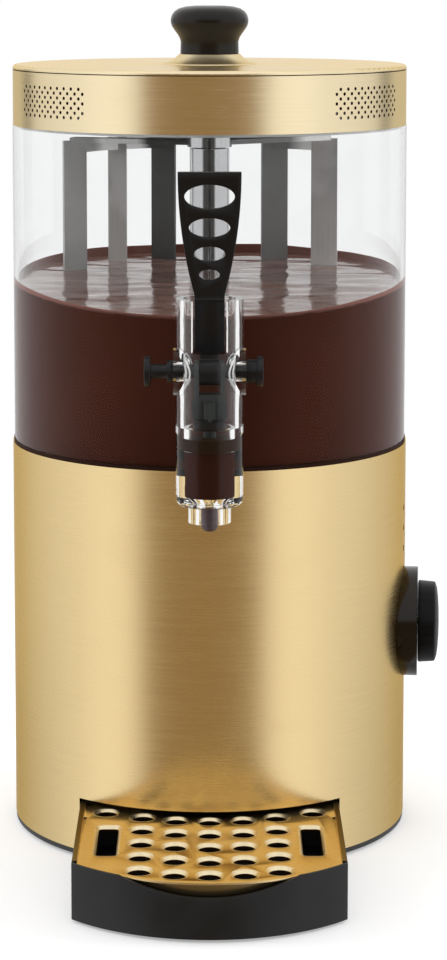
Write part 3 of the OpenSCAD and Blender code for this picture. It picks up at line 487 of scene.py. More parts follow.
def moulded_group():
    """Fine pebbled skin of moulded plastic and rubber."""
    group, entry, leave = new_group("Moulded Skin", {"Pebbles": 1800.0}, ("Height", "Patches"))
    group.links.new(noise_node(group, entry["Point"], entry["Pebbles"], 3.0), leave["Height"])
    group.links.new(noise_node(group, entry["Point"], 60.0, 3.0), leave["Patches"])


# ---------- materials ----------


def new_material(name):
    """An empty node material, its tree, and a Principled BSDF joined to its output."""
    material = bpy.data.materials.new(name)
    material.use_nodes = True
    tree = material.node_tree
    tree.nodes.clear()
    surface = tree.nodes.new("ShaderNodeBsdfPrincipled")
    output = tree.nodes.new("ShaderNodeOutputMaterial")
    tree.links.new(surface.outputs[0], output.inputs["Surface"])
    return material, tree, surface, output


def bump(tree, surface, height, strength, distance):
    """A Bump node between a height and the surface's normal."""
    made = tree.nodes.new("ShaderNodeBump")
    set_inputs(made, {"Strength": strength, "Distance": distance})
    tree.links.new(height, made.inputs["Height"])
    tree.links.new(made.outputs[0], surface.inputs["Normal"])


def shaded(colour, factor):
    """A colour made lighter or darker, with full alpha."""
    return (colour[0] * factor, colour[1] * factor, colour[2] * factor, 1.0)


def opaque(colour):
    """A colour with full alpha."""
    return shaded(colour, 1.0)


def uneven(tree, mask, low, high, colour, darker, lighter):
    """Output of a colour that goes from darker to lighter while a mask goes from low to high."""
    return mix_colour(tree, ramp(tree, mask, low, high), shaded(colour, darker), shaded(colour, lighter))


def gold_material(name, colour, roughness, lines):
    """Brushed sheet metal in a warm brass colour under a thin clear lacquer."""
    material, tree, surface, _ = new_material(name)
    point = object_point(tree)
    grain = use_group(tree, "Turned Grain", point, lines=lines)["Grain"]
    marks = use_group(tree, "Handling Marks", point, size=22.0, amount=0.5)["Marks"]
    tree.links.new(uneven(tree, grain, 0.25, 0.75, colour, 0.93, 1.04), surface.inputs["Base Color"])
    rough = ramp(tree, grain, 0.2, 0.8, roughness - 0.04, roughness + 0.05)
    tree.links.new(plus(tree, rough, times(tree, marks, 0.05)), surface.inputs["Roughness"])
    bump(tree, surface, grain, 0.12, 0.04 * MM)
    set_inputs(surface, {"Metallic": 1.0, "Anisotropic": 0.5, "Specular Tint": shaded(colour, 1.05)})
    set_inputs(surface, {"Coat Weight": 0.04, "Coat Roughness": 0.25})
    return material


def painted_light_across(tree, point):
    """Output of the painted light and shade of the paddles, by their place from left to right."""
    made = tree.nodes.new("ShaderNodeValToRGB")
    across = ramp(tree, split(tree, point)[0], -PADDLE_REACH, PADDLE_REACH)
    tree.links.new(across, made.inputs["Fac"])
    stops = made.color_ramp.elements
    for place, _ in PADDLE_PAINTED_LIGHT[1:-1]:
        stops.new(place)
    for stop, (_, value) in zip(stops, PADDLE_PAINTED_LIGHT):
        stop.color = (value, value, value, 1.0)
    return made.outputs["Color"]


def metal_material(name, colour, roughness, stretch, cloudy_with_painted_light=False):
    """Bare metal with a straight grain; the paddles' metal is cloudy, with painted light and shade across."""
    material, tree, surface, _ = new_material(name)
    point = object_point(tree)
    grain = use_group(tree, "Straight Grain", point, stretch=stretch)["Grain"]
    shade = uneven(tree, grain, 0.3, 0.7, colour, 0.92, 1.06)
    rough = ramp(tree, grain, 0.3, 0.7, roughness * 0.85, roughness * 1.2)
    if cloudy_with_painted_light:
        marks = use_group(tree, "Handling Marks", point, size=26.0, amount=0.6)["Marks"]
        shade = mix_colour(tree, marks, shade, shaded(colour, 1.5))
        rough = plus(tree, rough, times(tree, marks, 0.25))
        # Painted light and shade: lighter and darker bands across the paddles, for how each strip catches the
        # side light.
        shade = multiplied(tree, shade, painted_light_across(tree, point))
    tree.links.new(shade, surface.inputs["Base Color"])
    tree.links.new(rough, surface.inputs["Roughness"])
    bump(tree, surface, grain, 0.1, 0.03 * MM)
    surface.inputs["Metallic"].default_value = 0.72 if cloudy_with_painted_light else 1.0
    return material


def plastic_material(name, colour, roughness, pebbles=1800.0, relief=0.15, shine=0.5):
    """Moulded plastic or rubber with a fine skin and slightly uneven gloss."""
    material, tree, surface, _ = new_material(name)
    point = object_point(tree)
    skin = use_group(tree, "Moulded Skin", point, pebbles=pebbles)
    marks = use_group(tree, "Handling Marks", point, size=40.0, amount=0.6)["Marks"]
    patches = skin["Patches"]
    tree.links.new(uneven(tree, patches, 0.3, 0.7, colour, 0.85, 1.15), surface.inputs["Base Color"])
    rough = ramp(tree, patches, 0.3, 0.7, roughness * 0.9, roughness * 1.1)
    tree.links.new(plus(tree, rough, times(tree, marks, 0.08)), surface.inputs["Roughness"])
    bump(tree, surface, skin["Height"], relief, 0.05 * MM)
    surface.inputs["Specular IOR Level"].default_value = shine
    return material


def clear_material(name, colour, waviness, shine):
    """Clear plastic whose shadow stays light; waviness is the scale of the streaks in its wall."""
    material, tree, surface, output = new_material(name)
    point = object_point(tree)
    marks = use_group(tree, "Handling Marks", point, size=18.0, amount=0.6)["Marks"]
    tint = mix_colour(tree, marks, opaque(colour), shaded(colour, 0.97))
    tree.links.new(tint, surface.inputs["Base Color"])
    set_inputs(surface, {"Roughness": 0.0, "Transmission Weight": 1.0, "IOR": 1.49})
    surface.inputs["Specular Tint"].default_value = (shine, shine, shine, 1.0)
    if waviness > 0:
        streaks = noise_node(tree, multiplied(tree, point, (3.0, 3.0, 0.8)), waviness)
        bump(tree, surface, streaks, 0.35, 0.3 * MM)
    through = tree.nodes.new("ShaderNodeBsdfTransparent")
    through.inputs["Color"].default_value = shaded(colour, 0.94)
    path = tree.nodes.new("ShaderNodeLightPath")
    mixed = mix_shaders(tree, path.outputs["Is Shadow Ray"], surface, through)
    tree.links.new(mixed.outputs[0], output.inputs["Surface"])
    return material


def chocolate_material(name, colour, shine, patches=None):
    """Thick brown drink; shine is the strength of its gloss, patches a darker colour that breaks through."""
    material, tree, surface, _ = new_material(name)
    point = object_point(tree)
    swirl = noise_node(tree, multiplied(tree, point, (10.0, 26.0, 14.0)), 1.0, 3.0)
    share = soft_ramp(tree, swirl, 0.3, 0.75)
    shade = mix_colour(tree, share, shaded(colour, 0.93), shaded(colour, 1.08))
    if patches:
        broken = noise_node(tree, multiplied(tree, point, (34.0, 95.0, 30.0)), 1.0, 4.0, 0.6)
        shade = mix_colour(tree, soft_ramp(tree, broken, 0.52, 0.62), shade, opaque(patches))
    tree.links.new(shade, surface.inputs["Base Color"])
    tree.links.new(ramp(tree, swirl, 0.3, 0.7, 0.06, 0.16), surface.inputs["Roughness"])
    if shine > 0:
        ripples = noise_node(tree, multiplied(tree, point, (40.0, 120.0, 60.0)), 1.0, 3.0, 0.55)
        bump(tree, surface, ripples, 0.25, 0.3 * MM)
    set_inputs(surface, {"IOR": 1.45, "Specular IOR Level": shine})
    return material


def give(names, material):
    """Puts one material on CAD nodes."""
    for name in names:
        data = nodes[name].data
        data.materials.clear()
        data.materials.append(material)


# ---------- meshes ----------


def add_piece(mesh, material, body, replaced=()):
    """An object named as its mesh, riding on a body and standing for CAD nodes."""
    piece = bpy.data.objects.new(mesh.name, mesh)
    bpy.context.scene.collection.objects.link(piece)
    mesh.materials.append(material)
    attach(piece, body)
    if replaced:
        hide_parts(*replaced)
    return piece


def turning_edges(work, angle):
    """Edges between two faces that turn by more than an angle."""
    return [edge for edge in work.edges if len(edge.link_faces) == 2 and edge.calc_face_angle(0.0) > angle]


def smooth(mesh):
    """Smooth shading that stays sharp at the edges that turn most."""
    for face in mesh.polygons:
        face.use_smooth = True
    work = bmesh.new()
    work.from_mesh(mesh)
    for edge in work.edges:
        edge.smooth = True
    for edge in turning_edges(work, SHADED_TURN):
        edge.smooth = False
    work.to_mesh(mesh)
    work.free()


def circle(steps):
    """Points of a circle of radius 1."""
    angles = [2 * math.pi * step / steps for step in range(steps)]
    return [(math.cos(angle), math.sin(angle)) for angle in angles]


def grid_faces(rings, steps, looped=False, base=0):
    """Quads between rings of points, numbered ring by ring; looped joins the last ring to the first."""
    faces = []
    for ring in range(rings if looped else rings - 1):
        low, high = base + ring * steps, base + (ring + 1) % rings * steps
        for step in range(steps):
            after = (step + 1) % steps
            faces.append((low + step, low + after, high + after, high + step))
    return faces


def closed_mesh(name, points, faces):
    """A mesh with joined points, filled rims, faces turned outwards and smooth shading."""
    mesh = bpy.data.meshes.new(name)
    mesh.from_pydata(points, [], faces)
    work = bmesh.new()
    work.from_mesh(mesh)
    bmesh.ops.remove_doubles(work, verts=work.verts, dist=SAME_POINT)
    bmesh.ops.holes_fill(work, edges=[edge for edge in work.edges if edge.is_boundary], sides=0)
    bmesh.ops.recalc_face_normals(work, faces=work.faces)
    work.to_mesh(mesh)
    work.free()
    smooth(mesh)
    return mesh


def turned(name, profile, centre_y=0.0):
    """A closed body turned from (radius, height) points about an upright axis."""
    around = circle(TURNED_STEPS)
    points = [(radius * x, centre_y + radius * y, z) for radius, z in profile for x, y in around]
    return closed_mesh(name, points, grid_faces(len(profile), TURNED_STEPS))


def ring_profile(inner, outer, low, high):
    """Outline of a plain ring, for turning."""
    return [(inner, low), (outer, low), (outer, high), (inner, high), (inner, low)]


def set_on(node, outline):
    """An outline in millimetres set on the foot of a node, for turning."""
    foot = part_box(node)[0].z
    return [(radius * MM, foot + height * MM) for radius, height in outline]


def copy_of(node, ending):
    """A copy of a node's mesh without its materials."""
    mesh = nodes[node].data.copy()
    mesh.materials.clear()
    mesh.name = node + ending
    return mesh


def eased(node, width, material, body):
    """A copy of a solid whose sharp edges are rounded off; it stands for the solid in pictures."""
    mesh = copy_of(node, "_eased")
    work = bmesh.new()
    work.from_mesh(mesh)
    bmesh.ops.remove_doubles(work, verts=work.verts, dist=SAME_POINT)
    bmesh.ops.dissolve_limit(work, angle_limit=FLAT_TURN, verts=work.verts, edges=work.edges)
    bmesh.ops.bevel(
        work,
        geom=turning_edges(work, EASED_TURN),
        offset=width,
        segments=2,
        profile=0.5,
        affect="EDGES",
        clamp_overlap=True,
    )
    work.to_mesh(mesh)
    work.free()
    smooth(mesh)
    return add_piece(mesh, material, body, (node,))


def inner_shaded(node, outer, shade_inside_lid, body, depth):
    """A copy of a turned sheet piece; its inner faces deeper than a depth get a second material: painted
    shade.
    """
    mesh = copy_of(node, "_lined")
    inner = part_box(node)[1].x - depth
    add_piece(mesh, outer, body, (node,))
    mesh.materials.append(shade_inside_lid)
    for face in mesh.polygons:
        deep = face.center.xy.length < inner
        face.material_index = 1 if deep and face.normal.z < 0.3 else 0


def hole_loops(node, half_width):
    """Height of a pressed plate's top and the closed outlines of its holes, as lists of points."""
    work = bmesh.new()
    work.from_mesh(nodes[node].data)
    bmesh.ops.remove_doubles(work, verts=work.verts, dist=SAME_POINT)
    levels = {}
    for face in work.faces:
        middle = face.calc_center_median()
        if face.normal.z > 0.99 and abs(middle.x) < half_width:
            level = round(middle.z / MM, 2)
            levels[level] = levels.get(level, 0.0) + face.calc_area()
    plate_top = max(levels, key=levels.get) * MM
    after = {}
    for edge in work.edges:
        off_top = any(abs(point.co.z - plate_top) > 0.02 * MM for point in edge.verts)
        if off_top or len(edge.link_faces) != 2:
            continue
        slopes = sorted(abs(face.normal.z) for face in edge.link_faces)
        if slopes[0] < 0.5 < slopes[1]:
            first, second = edge.verts
            after.setdefault(first, []).append(second)
            after.setdefault(second, []).append(first)
    loops = []
    while after:
        start = next(iter(after))
        loop, here, last = [], start, None
        while here in after:
            loop.append(here.co.copy())
            ways = after.pop(here)
            here, last = next((way for way in ways if way is not last and way in after), start), here
            if here is start:
                break
        span = max(point.x for point in loop) - min(point.x for point in loop)
        if len(loop) > FEWEST_POINTS and span < LARGEST_HOLE:
            loops.append(loop)
    work.free()
    if not loops:
        raise RuntimeError(f"no holes were found in {node}")
    return plate_top, loops


def funnel_mesh(plate_top, loops):
    """Pressed rims of the holes: each rounds over at the top and narrows towards its foot."""
    points, faces = [], []
    for loop in loops:
        middle = sum(loop, Vector()) / len(loop)
        area = sum(a.x * b.y - b.x * a.y for a, b in zip(loop, loop[1:] + loop[:1]))
        ordered = loop if area > 0 else loop[::-1]
        count = len(ordered)
        faces += grid_faces(len(FUNNEL_OUTLINE), count, looped=True, base=len(points))
        for wide, rise in FUNNEL_OUTLINE:
            for place in range(count):
                along = ordered[(place + 1) % count] - ordered[place - 1]
                out = Vector((along.y, -along.x, 0.0)).normalized()
                if out.dot(ordered[place] - middle) < 0:
                    out.negate()
                spot = ordered[place] + out * wide * MM
                points.append((spot.x, spot.y, plate_top + rise * MM))
    return closed_mesh("drip_grille_funnels", points, faces)


# ---------- the drink ----------


def drink_height(x, y):
    """Height of the stirred drink's surface at a point, without its ripples."""
    share = y / WALL_RADIUS
    return drink_high.z + shape().heap * (0.46 + 0.5 * share - 0.26 * share * share)


def ripple_height(x, y):
    """Long low waves that the paddles leave, calmer at the wall."""
    reach = math.hypot(x, y) / WALL_RADIUS
    calm = 1.0 - max(0.0, (reach - 0.85) / 0.15) ** 2
    long_waves = noise.noise(Vector((x * 22.0, y * 75.0, 3.1)))
    short_waves = noise.noise(Vector((x * 48.0, y * 150.0, 7.7)))
    return shape().ripple * calm * (long_waves + 0.5 * short_waves)


def drink_mesh():
    """The drink: its wetted wall, rippled surface and underside."""
    steps, rings = shape().surface_steps, shape().surface_rings
    around = circle(steps)
    wall = WALL_RADIUS + CONTACT
    edge = floor_high.x + 0.05 * MM
    foot = floor_low.z + 0.05 * MM
    under = ((TUBE_RADIUS, drink_low.z), (edge, drink_low.z), (edge, foot), (wall, foot))
    points = [(radius * x, radius * y, z) for radius, z in under for x, y in around]
    for ring in range(rings):
        radius = wall + (TUBE_RADIUS - wall) * ring / (rings - 1)
        for across, along in around:
            x, y = radius * across, radius * along
            points.append((x, y, drink_height(x, y) + ripple_height(x, y)))
    mesh = bpy.data.meshes.new("drink_stirred")
    mesh.from_pydata(points, [], grid_faces(len(under) + rings, steps))
    for face in mesh.polygons:
        face.material_index = 1 if face.index >= len(under) * steps else 0
    smooth(mesh)
    return mesh


def film_mesh():
    """Thin band of drink that clings to the bowl's wall above the surface."""
    outer, inner = WALL_RADIUS + CONTACT, WALL_RADIUS - 0.35 * MM
    front, back = shape().film_front, shape().film_back
    rows = ([], [], [], [])
    for x, y in circle(shape().surface_steps):
        level = drink_height(x * outer, y * outer)
        share = 0.5 + 0.5 * y
        uneven_edge = 0.35 * MM * noise.noise(Vector((x * 3.0, y * 3.0, 1.7))) * (1 + 2 * share)
        top = level + front + (back - front) * share + uneven_edge
        low = level - 1.0 * MM
        for row, radius, z in zip(rows, (outer, outer, inner, inner), (low, top, top - 0.3 * MM, low)):
            row.append((x * radius, y * radius, z))
    points = [point for row in rows for point in row]
    return closed_mesh("drink_film", points, grid_faces(4, len(rows[0]), looped=True))


# ---------- operators ----------


class DISPENSER_OT_sheet_metal(bpy.types.Operator):
    """Brushed gold on the base's shell and on the lid with its boss"""

    bl_idname = "dispenser.sheet_metal"
    bl_label = "Sheet Metal"

    def execute(self, context):
        give(["base_shell"], gold_material("Brushed Gold Base", finish().gold, 0.25, 3600.0))
        lid = gold_material("Brushed Gold Lid", finish().lid_gold, 0.22, 3600.0)
        # Painted shade: the lid's hollow inside, its vent holes and the seam under its lip are dark brown,
        # where little light reaches.
        shade_inside_lid = plastic_material("Painted Shade Inside Lid", (0.030, 0.018, 0.009), 0.7, shine=0.1)
        for node, depth in LID_SHADE.items():
            inner_shaded(node, lid, shade_inside_lid, "lid", depth)
        spun = gold_material("Spun Gold Boss", finish().lid_gold, 0.40, 3600.0)
        mesh = turned("lid_boss_spun", set_on("lid_boss", BOSS_OUTLINE))
        add_piece(mesh, spun, "lid", ("lid_boss",))
        return {"FINISHED"}


class DISPENSER_OT_clear_parts(bpy.types.Operator):
    """Clear plastic on the bowl and the tap"""

    bl_idname = "dispenser.clear_parts"
    bl_label = "Clear Parts"

    def execute(self, context):
        give(["bowl"], clear_material("Clear Bowl", finish().clear, 0.0, 0.03))
        give(["tap_body"], clear_material("Clear Tap", finish().clear, 60.0, 0.27))
        for name in ("bowl", "tap_body"):
            nodes[name].visible_diffuse = False
            nodes[name].visible_shadow = False
        return {"FINISHED"}


class DISPENSER_OT_drink(bpy.types.Operator):
    """The drink in the bowl and in the tap"""

    bl_idname = "dispenser.drink"
    bl_label = "Drink"

    def execute(self, context):
        colour = finish().chocolate
        wetted = chocolate_material("Chocolate Against The Wall", colour, 0.0)
        open_top = chocolate_material("Chocolate Surface", finish().foam, 0.85, shaded(colour, 2.0))
        mesh = drink_mesh()
        add_piece(mesh, wetted, "stirrer", ("drink",))
        mesh.materials.append(open_top)
        film = chocolate_material("Chocolate Film", finish().film, 0.2)
        add_piece(film_mesh(), film, "stirrer")
        radius = tap_drink_high.x + SEAL_GAP + CONTACT
        foot, top = tap_drink_low.z, seal_low.z - 0.05 * MM
        # Painted shade: the drink in the tap is the bowl's chocolate at 0.6 of its brightness.
        shaded_tap_chocolate = chocolate_material("Chocolate In The Tap With Painted Shade", shaded(colour, 0.6), 0.0)
        profile = [(0.0, foot), (radius, foot), (radius, top), (0.0, top)]
        mesh = turned("tap_drink_standing", profile, TAP_AXIS_Y)
        add_piece(mesh, shaded_tap_chocolate, "base", ("tap_drink",))
        return {"FINISHED"}


class DISPENSER_OT_stirrer(bpy.types.Operator):
    """Steel of the column, shaft, hub and paddles"""

    bl_idname = "dispenser.stirrer"
    bl_label = "Stirrer"

    def execute(self, context):
        steel = metal_material("Polished Column", finish().steel, 0.12, (2500.0, 2500.0, 20.0))
        give(["column", "drive_shaft", "stirrer_hub", "bowl_floor"], steel)
        stretch = (1500.0, 1500.0, 25.0)
        grey = metal_material("Grey Paddles", finish().paddle, 0.40, stretch, cloudy_with_painted_light=True)
        give(["left_paddles", "right_paddles"], grey)
        return {"FINISHED"}


class DISPENSER_OT_tap(bpy.types.Operator):
    """Black lever and pin, and the plunger inside the tap"""

    bl_idname = "dispenser.tap"
    bl_label = "Tap"

    def execute(self, context):
        black = plastic_material("Black Lever", finish().black, 0.34, shine=0.3)
        eased("tap_lever", 0.5 * MM, black, "lever")
        eased("lever_pin", 0.5 * MM, black, "base")
        give(["plunger"], plastic_material("Grey Plunger", (0.040, 0.046, 0.044), 0.4, shine=0.25))
        rubber = plastic_material("Black Rubber", (0.008, 0.008, 0.008), 0.6, 900.0, 0.3, 0.15)
        give(["plunger_collar", "tap_washer"], rubber)
        gasket = plastic_material("Brown Gasket", (0.022, 0.008, 0.005), 0.6, 900.0, 0.3, 0.08)
        give(["bowl_gasket"], gasket)
        band = plastic_material("Seal Rubber", (0.022, 0.010, 0.004), 0.5, shine=0.05)
        radius = seal_high.x + SEAL_GAP + CONTACT
        profile = ring_profile(BAND_HOLE, radius, seal_low.z, seal_high.z)
        mesh = turned("piston_band", profile, TAP_AXIS_Y)
        add_piece(mesh, band, "plunger", ("piston_seal",))
        give(["valve_plug"], plastic_material("Brown Rubber", (0.070, 0.040, 0.045), 0.35))
        self.pin_highlight_rims()
        return {"FINISHED"}

    def pin_highlight_rims(self):
        """Pale rims round the pin's holes, as painted highlights; each follows the curved wall of the tap's
        bore.
        """
        pale = plastic_material("Painted Highlight Rim", (0.80, 0.80, 0.79), 0.25)
        low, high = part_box("lever_pin")
        height = (low.z + high.z) / 2
        around, section = circle(60), circle(8)
        for side, word in ((-1, "left"), (1, "right")):
            for reach in PIN_RIMS:
                points = []
                for along, up in around:
                    across = math.sqrt(TAP_BORE * TAP_BORE - (reach * along) ** 2)
                    for outwards, deeper in section:
                        grown = reach + PIN_RIM_THICK * outwards
                        x = side * (across + PIN_RIM_THICK * deeper)
                        points.append((x, TAP_AXIS_Y + grown * along, height + grown * up))
                faces = grid_faces(len(around), len(section), looped=True)
                mesh = closed_mesh(f"pin_highlight_rim_{word}_{round(reach / MM)}", points, faces)
                add_piece(mesh, pale, "base")


class DISPENSER_OT_knobs(bpy.types.Operator):
    """Turned lid knob, dial with its collar, and bezel"""

    bl_idname = "dispenser.knobs"
    bl_label = "Knobs"

    def execute(self, context):
        mesh = turned("lid_knob_turned", set_on("lid_knob", KNOB_OUTLINE))
        knob = plastic_material("Turned Knob", (0.006, 0.004, 0.003), 0.3, 1200.0, 0.08, 0.3)
        add_piece(mesh, knob, "lid", ("lid_knob",))
        dial = plastic_material("Dial Knob", finish().black, 0.36, shine=0.12)
        eased("dial_knob", 0.6 * MM, dial, "dial")
        bezel = plastic_material("Polished Bezel", (0.010, 0.006, 0.003), 0.14, 900.0, 0.04, 0.3)
        eased("dial_bezel", 0.8 * MM, bezel, "base")
        self.dial_collar(dial)
        return {"FINISHED"}

    def dial_collar(self, material):
        """Collar behind the dial that almost closes the gap to the bezel."""
        low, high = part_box("dial_knob")
        middle = (low + high) / 2
        axis = Vector((middle.x, middle.y, 0.0)).normalized()
        near = max(point.co.dot(axis) for point in nodes["dial_bezel"].data.vertices) + COLLAR_GAP
        back = min(point.co.dot(axis) for point in nodes["dial_knob"].data.vertices)
        wide = (high.z - low.z) / 2 - COLLAR_STEP
        depth = back - near + CONTACT
        mesh = turned("dial_collar", ring_profile(COLLAR_HOLE, wide, 0.0, depth))
        place = Matrix.Translation((axis.x * near, axis.y * near, middle.z))
        mesh.transform(place @ axis.to_track_quat("Z", "Y").to_matrix().to_4x4())
        add_piece(mesh, material, "dial")


class DISPENSER_OT_tray(bpy.types.Operator):
    """Charcoal drip pan and the pressed gold grille with its funnels"""

    bl_idname = "dispenser.tray"
    bl_label = "Tray"

    def execute(self, context):
        charcoal = plastic_material("Charcoal Pan", finish().charcoal, 0.42, 1500.0, 0.2, 0.3)
        eased("drip_pan", 0.9 * MM, charcoal, "tray")
        low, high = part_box("drip_grille")
        plate_top, loops = hole_loops("drip_grille", high.x - GRILLE_HEM)
        pressed = gold_material("Pressed Gold Grille", finish().gold, 0.28, 1500.0)
        grille = eased("drip_grille", 0.3 * MM, pressed, "tray").data
        # Painted highlight: the funnels, part of the same sheet, take the lighter lid gold so the holes' rims
        # read brighter.
        bright = gold_material("Pressed Gold Funnels With Painted Highlight", finish().lid_gold, 0.34, 1500.0)
        funnels = funnel_mesh(plate_top, loops)
        add_piece(funnels, bright, "tray")
        # Painted shadow: the funnels' lower rings are near black, for the shade down in the holes.
        shadow = plastic_material("Shadow Under The Grille", (0.010, 0.005, 0.002), 0.7, shine=0.0)
        funnels.materials.append(shadow)
        for face in funnels.polygons:
            face.material_index = 1 if face.center.z < plate_top - FUNNEL_SHADE else 0
        # Painted shade: the front lip below the plate and the side hems get the grille's gold at 0.35 of its
        # brightness.
        lip_and_hem_shade = shaded(finish().gold, 0.35)
        grille.materials.append(gold_material("Gold Lip And Hems With Painted Shade", lip_and_hem_shade, 0.30, 1500.0))
        corner = min(point.co.y for point in grille.vertices if point.co.x > high.x - 1.0 * MM)
        bow = (corner - low.y) / (high.x * high.x)
        for face in grille.polygons:
            middle = face.center
            front = low.y + LIP_DEPTH + bow * middle.x * middle.x
            lip = middle.y < front and middle.z < plate_top - LIP_DROP
            hem = abs(middle.x) > high.x - HEM_PAINTED_SHADE
            face.material_index = 1 if lip or hem else 0
        return {"FINISHED"}


class DISPENSER_OT_inner_parts(bpy.types.Operator):
    """Finishes of the pieces under and inside the base and lid"""

    bl_idname = "dispenser.inner_parts"
    bl_label = "Inner Parts"

    def execute(self, context):
        black = plastic_material("Black Moulding", (0.018, 0.018, 0.018), 0.45)
        give(["base_plate", "power_inlet"], black)
        give(["base_feet"], plastic_material("Foot Rubber", (0.015, 0.015, 0.015), 0.7, 700.0, 0.4))
        give(["lid_seal"], plastic_material("Pale Seal", (0.72, 0.72, 0.70), 0.5))
        pale = plastic_material("Pale Moulding", (0.76, 0.73, 0.62), 0.5)
        give(["thermostat", "safety_cutout", "terminal_block", "column_bush"], pale)
        drawn = (60.0, 900.0, 900.0)
        zinc = metal_material("Zinc Steel", (0.58, 0.59, 0.61), 0.35, drawn)
        give(["base_screws", "motor_screws", "motor_bracket", "motor", "lid_screw"], zinc)
        stainless = metal_material("Plain Stainless", finish().steel, 0.28, drawn)
        give(["water_bath", "dial_spindle"], stainless)
        sheath = metal_material("Heater Sheath", (0.13, 0.115, 0.10), 0.5, (300.0, 300.0, 300.0))
        give(["heating_element"], sheath)
        cast = metal_material("Cast Gearbox", (0.35, 0.36, 0.38), 0.5, (500.0, 500.0, 500.0))
        give(["gearbox"], cast)
        return {"FINISHED"}


class DISPENSER_OT_stage(bpy.types.Operator):
    """Floor, soft studio light and the camera"""

    bl_idname = "dispenser.stage"
    bl_label = "Stage"

    def execute(self, context):
        self.floor(context)
        self.world(context)
        self.lamps(context)
        self.camera(context)
        context.scene.view_settings.view_transform = "Standard"
        return {"FINISHED"}

    def floor(self, context):
        """A pale floor that keeps the shadow near the machine and turns into the backdrop."""
        half = studio().floor_size / 2
        mesh = bpy.data.meshes.new("Floor")
        corners = [(-half, -half, 0), (half, -half, 0), (half, half, 0), (-half, half, 0)]
        mesh.from_pydata(corners, [], [(0, 1, 2, 3)])
        floor = bpy.data.objects.new("Floor", mesh)
        context.scene.collection.objects.link(floor)
        material, tree, surface, output = new_material("Pale Floor")
        mesh.materials.append(material)
        set_inputs(surface, {"Base Color": (0.93, 0.93, 0.93, 1.0), "Roughness": 0.9})
        surface.inputs["Specular IOR Level"].default_value = 0.0
        length = tree.nodes.new("ShaderNodeVectorMath")
        length.operation = "LENGTH"
        tree.links.new(object_point(tree), length.inputs[0])
        away = soft_ramp(tree, length.outputs["Value"], *FLOOR_FADE, 0.35, 1.0)
        backdrop = tree.nodes.new("ShaderNodeEmission")
        bounced = tree.nodes.new("ShaderNodeBsdfDiffuse")
        bounced.inputs["Color"].default_value = (0.45, 0.45, 0.45, 1.0)
        seen = mix_shaders(tree, away, surface, backdrop)
        path = tree.nodes.new("ShaderNodeLightPath")
        both = mix_shaders(tree, path.outputs["Is Camera Ray"], bounced, seen)
        tree.links.new(both.outputs[0], output.inputs["Surface"])
        floor.visible_glossy = False
        floor.visible_transmission = False

    def world(self, context):
        """White all round for what is seen and mirrored, with a darker side in front of the machine."""
        world = bpy.data.worlds.new("Studio")
        context.scene.world = world
        world.use_nodes = True
        tree = world.node_tree
        tree.nodes.clear()
        settings = studio()
        right, back, up = split(tree, tree.nodes.new("ShaderNodeTexCoord").outputs["Generated"])
        bearing = math_node(tree, "ARCTAN2", right, times(tree, back, -1.0))
        off = apart(tree, bearing, settings.dark_centre)

        # Colours of the dark side, as they are mirrored and as they show inside the clear walls
        fade = settings.dark_fade / 2
        light = soft_ramp(tree, off, settings.dark_half - fade, settings.dark_half + fade)
        light = math_node(tree, "MAXIMUM", light, soft_ramp(tree, up, *CEILING))
        level = soft_ramp(tree, up, *EYE_LEVEL)
        dark = mix_colour(tree, level, opaque(settings.dark_colour), opaque(settings.dark_level_colour))
        front = mix_colour(tree, light, dark, WHITE)
        inside = mix_colour(tree, light, opaque(settings.dark_inside), WHITE)

        # Strength of what is mirrored: it peaks at the sides and falls off behind and low down
        peak_off = apart(tree, off, settings.peak_bearing)
        peak = soft_ramp(tree, peak_off, *PEAK_FALL, settings.peak_light, 1.0)
        strength = times(tree, soft_ramp(tree, off, *BACK_FALL, 1.0, 0.72), peak)
        below = soft_ramp(tree, up, *LOWER_LIGHT, 1.0, 0.0)
        aside = soft_ramp(tree, off, *SIDE_DIM, 0.0, 0.17)
        strength = weakened(tree, strength, times(tree, below, aside))
        strength = math_node(tree, "MAXIMUM", strength, soft_ramp(tree, up, *UPPER_LIGHT, 0.0, 0.98))
        flag_off = apart(tree, off, settings.flag_bearing)
        flag = soft_ramp(tree, flag_off, settings.flag_half * 0.6, settings.flag_half * 1.4, 1.0, 0.0)
        ends = times(tree, soft_ramp(tree, up, *FLAG_FOOT), soft_ramp(tree, up, *FLAG_HEAD, 1.0, 0.0))
        strength = weakened(tree, strength, times(tree, times(tree, flag, ends), 0.7))
        mirrored = multiplied(tree, front, strength)

        # What each kind of ray meets: plain light, mirrored studio, the inside of a wall, or white
        path = tree.nodes.new("ShaderNodeLightPath").outputs
        ambient = ramp(tree, light, 0.0, 1.0, settings.room_light * 0.35, settings.room_light)
        colour = mix_colour(tree, path["Is Glossy Ray"], ambient, mirrored)
        turns = plus(tree, path["Glossy Depth"], path["Diffuse Depth"])
        through = mix_colour(tree, math_node(tree, "MINIMUM", turns, 1.0), WHITE, inside)
        colour = mix_colour(tree, path["Is Transmission Ray"], colour, through)
        colour = mix_colour(tree, path["Is Camera Ray"], colour, WHITE)
        background = tree.nodes.new("ShaderNodeBackground")
        output = tree.nodes.new("ShaderNodeOutputWorld")
        tree.links.new(colour, background.inputs["Color"])
        tree.links.new(background.outputs[0], output.inputs["Surface"])

    def lamps(self, context):
        """Large soft lamps on both sides and one overhead."""
        for name, place, size, share in LAMPS:
            lamp = bpy.data.lights.new(name, "AREA")
            lamp.shape = "SQUARE"
            lamp.size = size
            lamp.energy = studio().side_light * share
            holder = bpy.data.objects.new(name, lamp)
            context.scene.collection.objects.link(holder)
            holder.location = place
            holder.rotation_euler = (LAMP_AIM - Vector(place)).to_track_quat("-Z", "Y").to_euler()
            holder.visible_glossy = False
            holder.visible_camera = False
            holder.visible_transmission = False

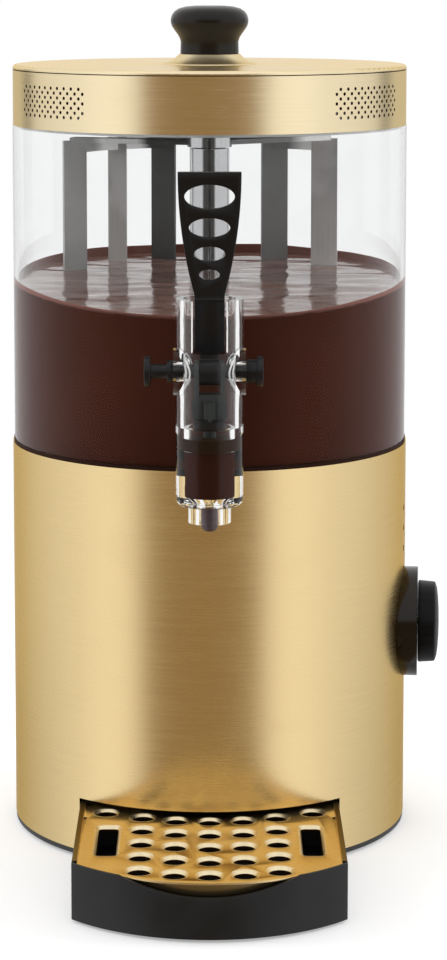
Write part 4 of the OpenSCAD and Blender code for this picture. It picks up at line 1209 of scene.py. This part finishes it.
    def camera(self, context):
        """The photograph's viewpoint."""
        settings = studio()
        data = bpy.data.cameras.new("Camera")
        camera = bpy.data.objects.new("Camera", data)
        context.scene.collection.objects.link(camera)
        data.sensor_width = SENSOR
        data.lens = settings.focal_pixels / PICTURE_LONG_SIDE * SENSOR
        data.shift_x = settings.shift_right
        data.shift_y = settings.shift_up
        camera.location = (0.0, -settings.camera_distance, settings.camera_height)
        camera.rotation_euler = (math.pi / 2 - settings.camera_tilt, 0.0, 0.0)
        context.scene.camera = camera


class DISPENSER_PT_panel(bpy.types.Panel):
    """Lists the steps and settings of the dispenser"""

    bl_idname = "DISPENSER_PT_panel"
    bl_label = "Dispenser"
    bl_space_type = "VIEW_3D"
    bl_region_type = "UI"
    bl_category = "Dispenser"

    def draw(self, context):
        scene = context.scene
        for step in STEPS:
            self.layout.operator(step.bl_idname)
        for group in (scene.dispenser_finish, scene.dispenser_shape, scene.dispenser_studio):
            for name in group.__annotations__:
                self.layout.prop(group, name)


STEPS = (
    DISPENSER_OT_sheet_metal,
    DISPENSER_OT_clear_parts,
    DISPENSER_OT_drink,
    DISPENSER_OT_stirrer,
    DISPENSER_OT_tap,
    DISPENSER_OT_knobs,
    DISPENSER_OT_tray,
    DISPENSER_OT_inner_parts,
    DISPENSER_OT_stage,
)
CLASSES = (DispenserStudio, DispenserFinish, DispenserShape, *STEPS, DISPENSER_PT_panel)
GROUPS = (turned_grain_group, straight_grain_group, handling_group, moulded_group)


def register():
    for item in CLASSES:
        bpy.utils.register_class(item)
    bpy.types.Scene.dispenser_studio = PointerProperty(type=DispenserStudio)
    bpy.types.Scene.dispenser_finish = PointerProperty(type=DispenserFinish)
    bpy.types.Scene.dispenser_shape = PointerProperty(type=DispenserShape)


def unregister():
    del bpy.types.Scene.dispenser_shape
    del bpy.types.Scene.dispenser_finish
    del bpy.types.Scene.dispenser_studio
    for item in reversed(CLASSES):
        bpy.utils.unregister_class(item)


def main():
    """Makes the whole scene."""
    register()
    for group in GROUPS:
        group()
    bpy.ops.dispenser.sheet_metal()
    bpy.ops.dispenser.clear_parts()
    bpy.ops.dispenser.drink()
    bpy.ops.dispenser.stirrer()
    bpy.ops.dispenser.tap()
    bpy.ops.dispenser.knobs()
    bpy.ops.dispenser.tray()
    bpy.ops.dispenser.inner_parts()
    bpy.ops.dispenser.stage()


if __name__ == "__main__":
    main()
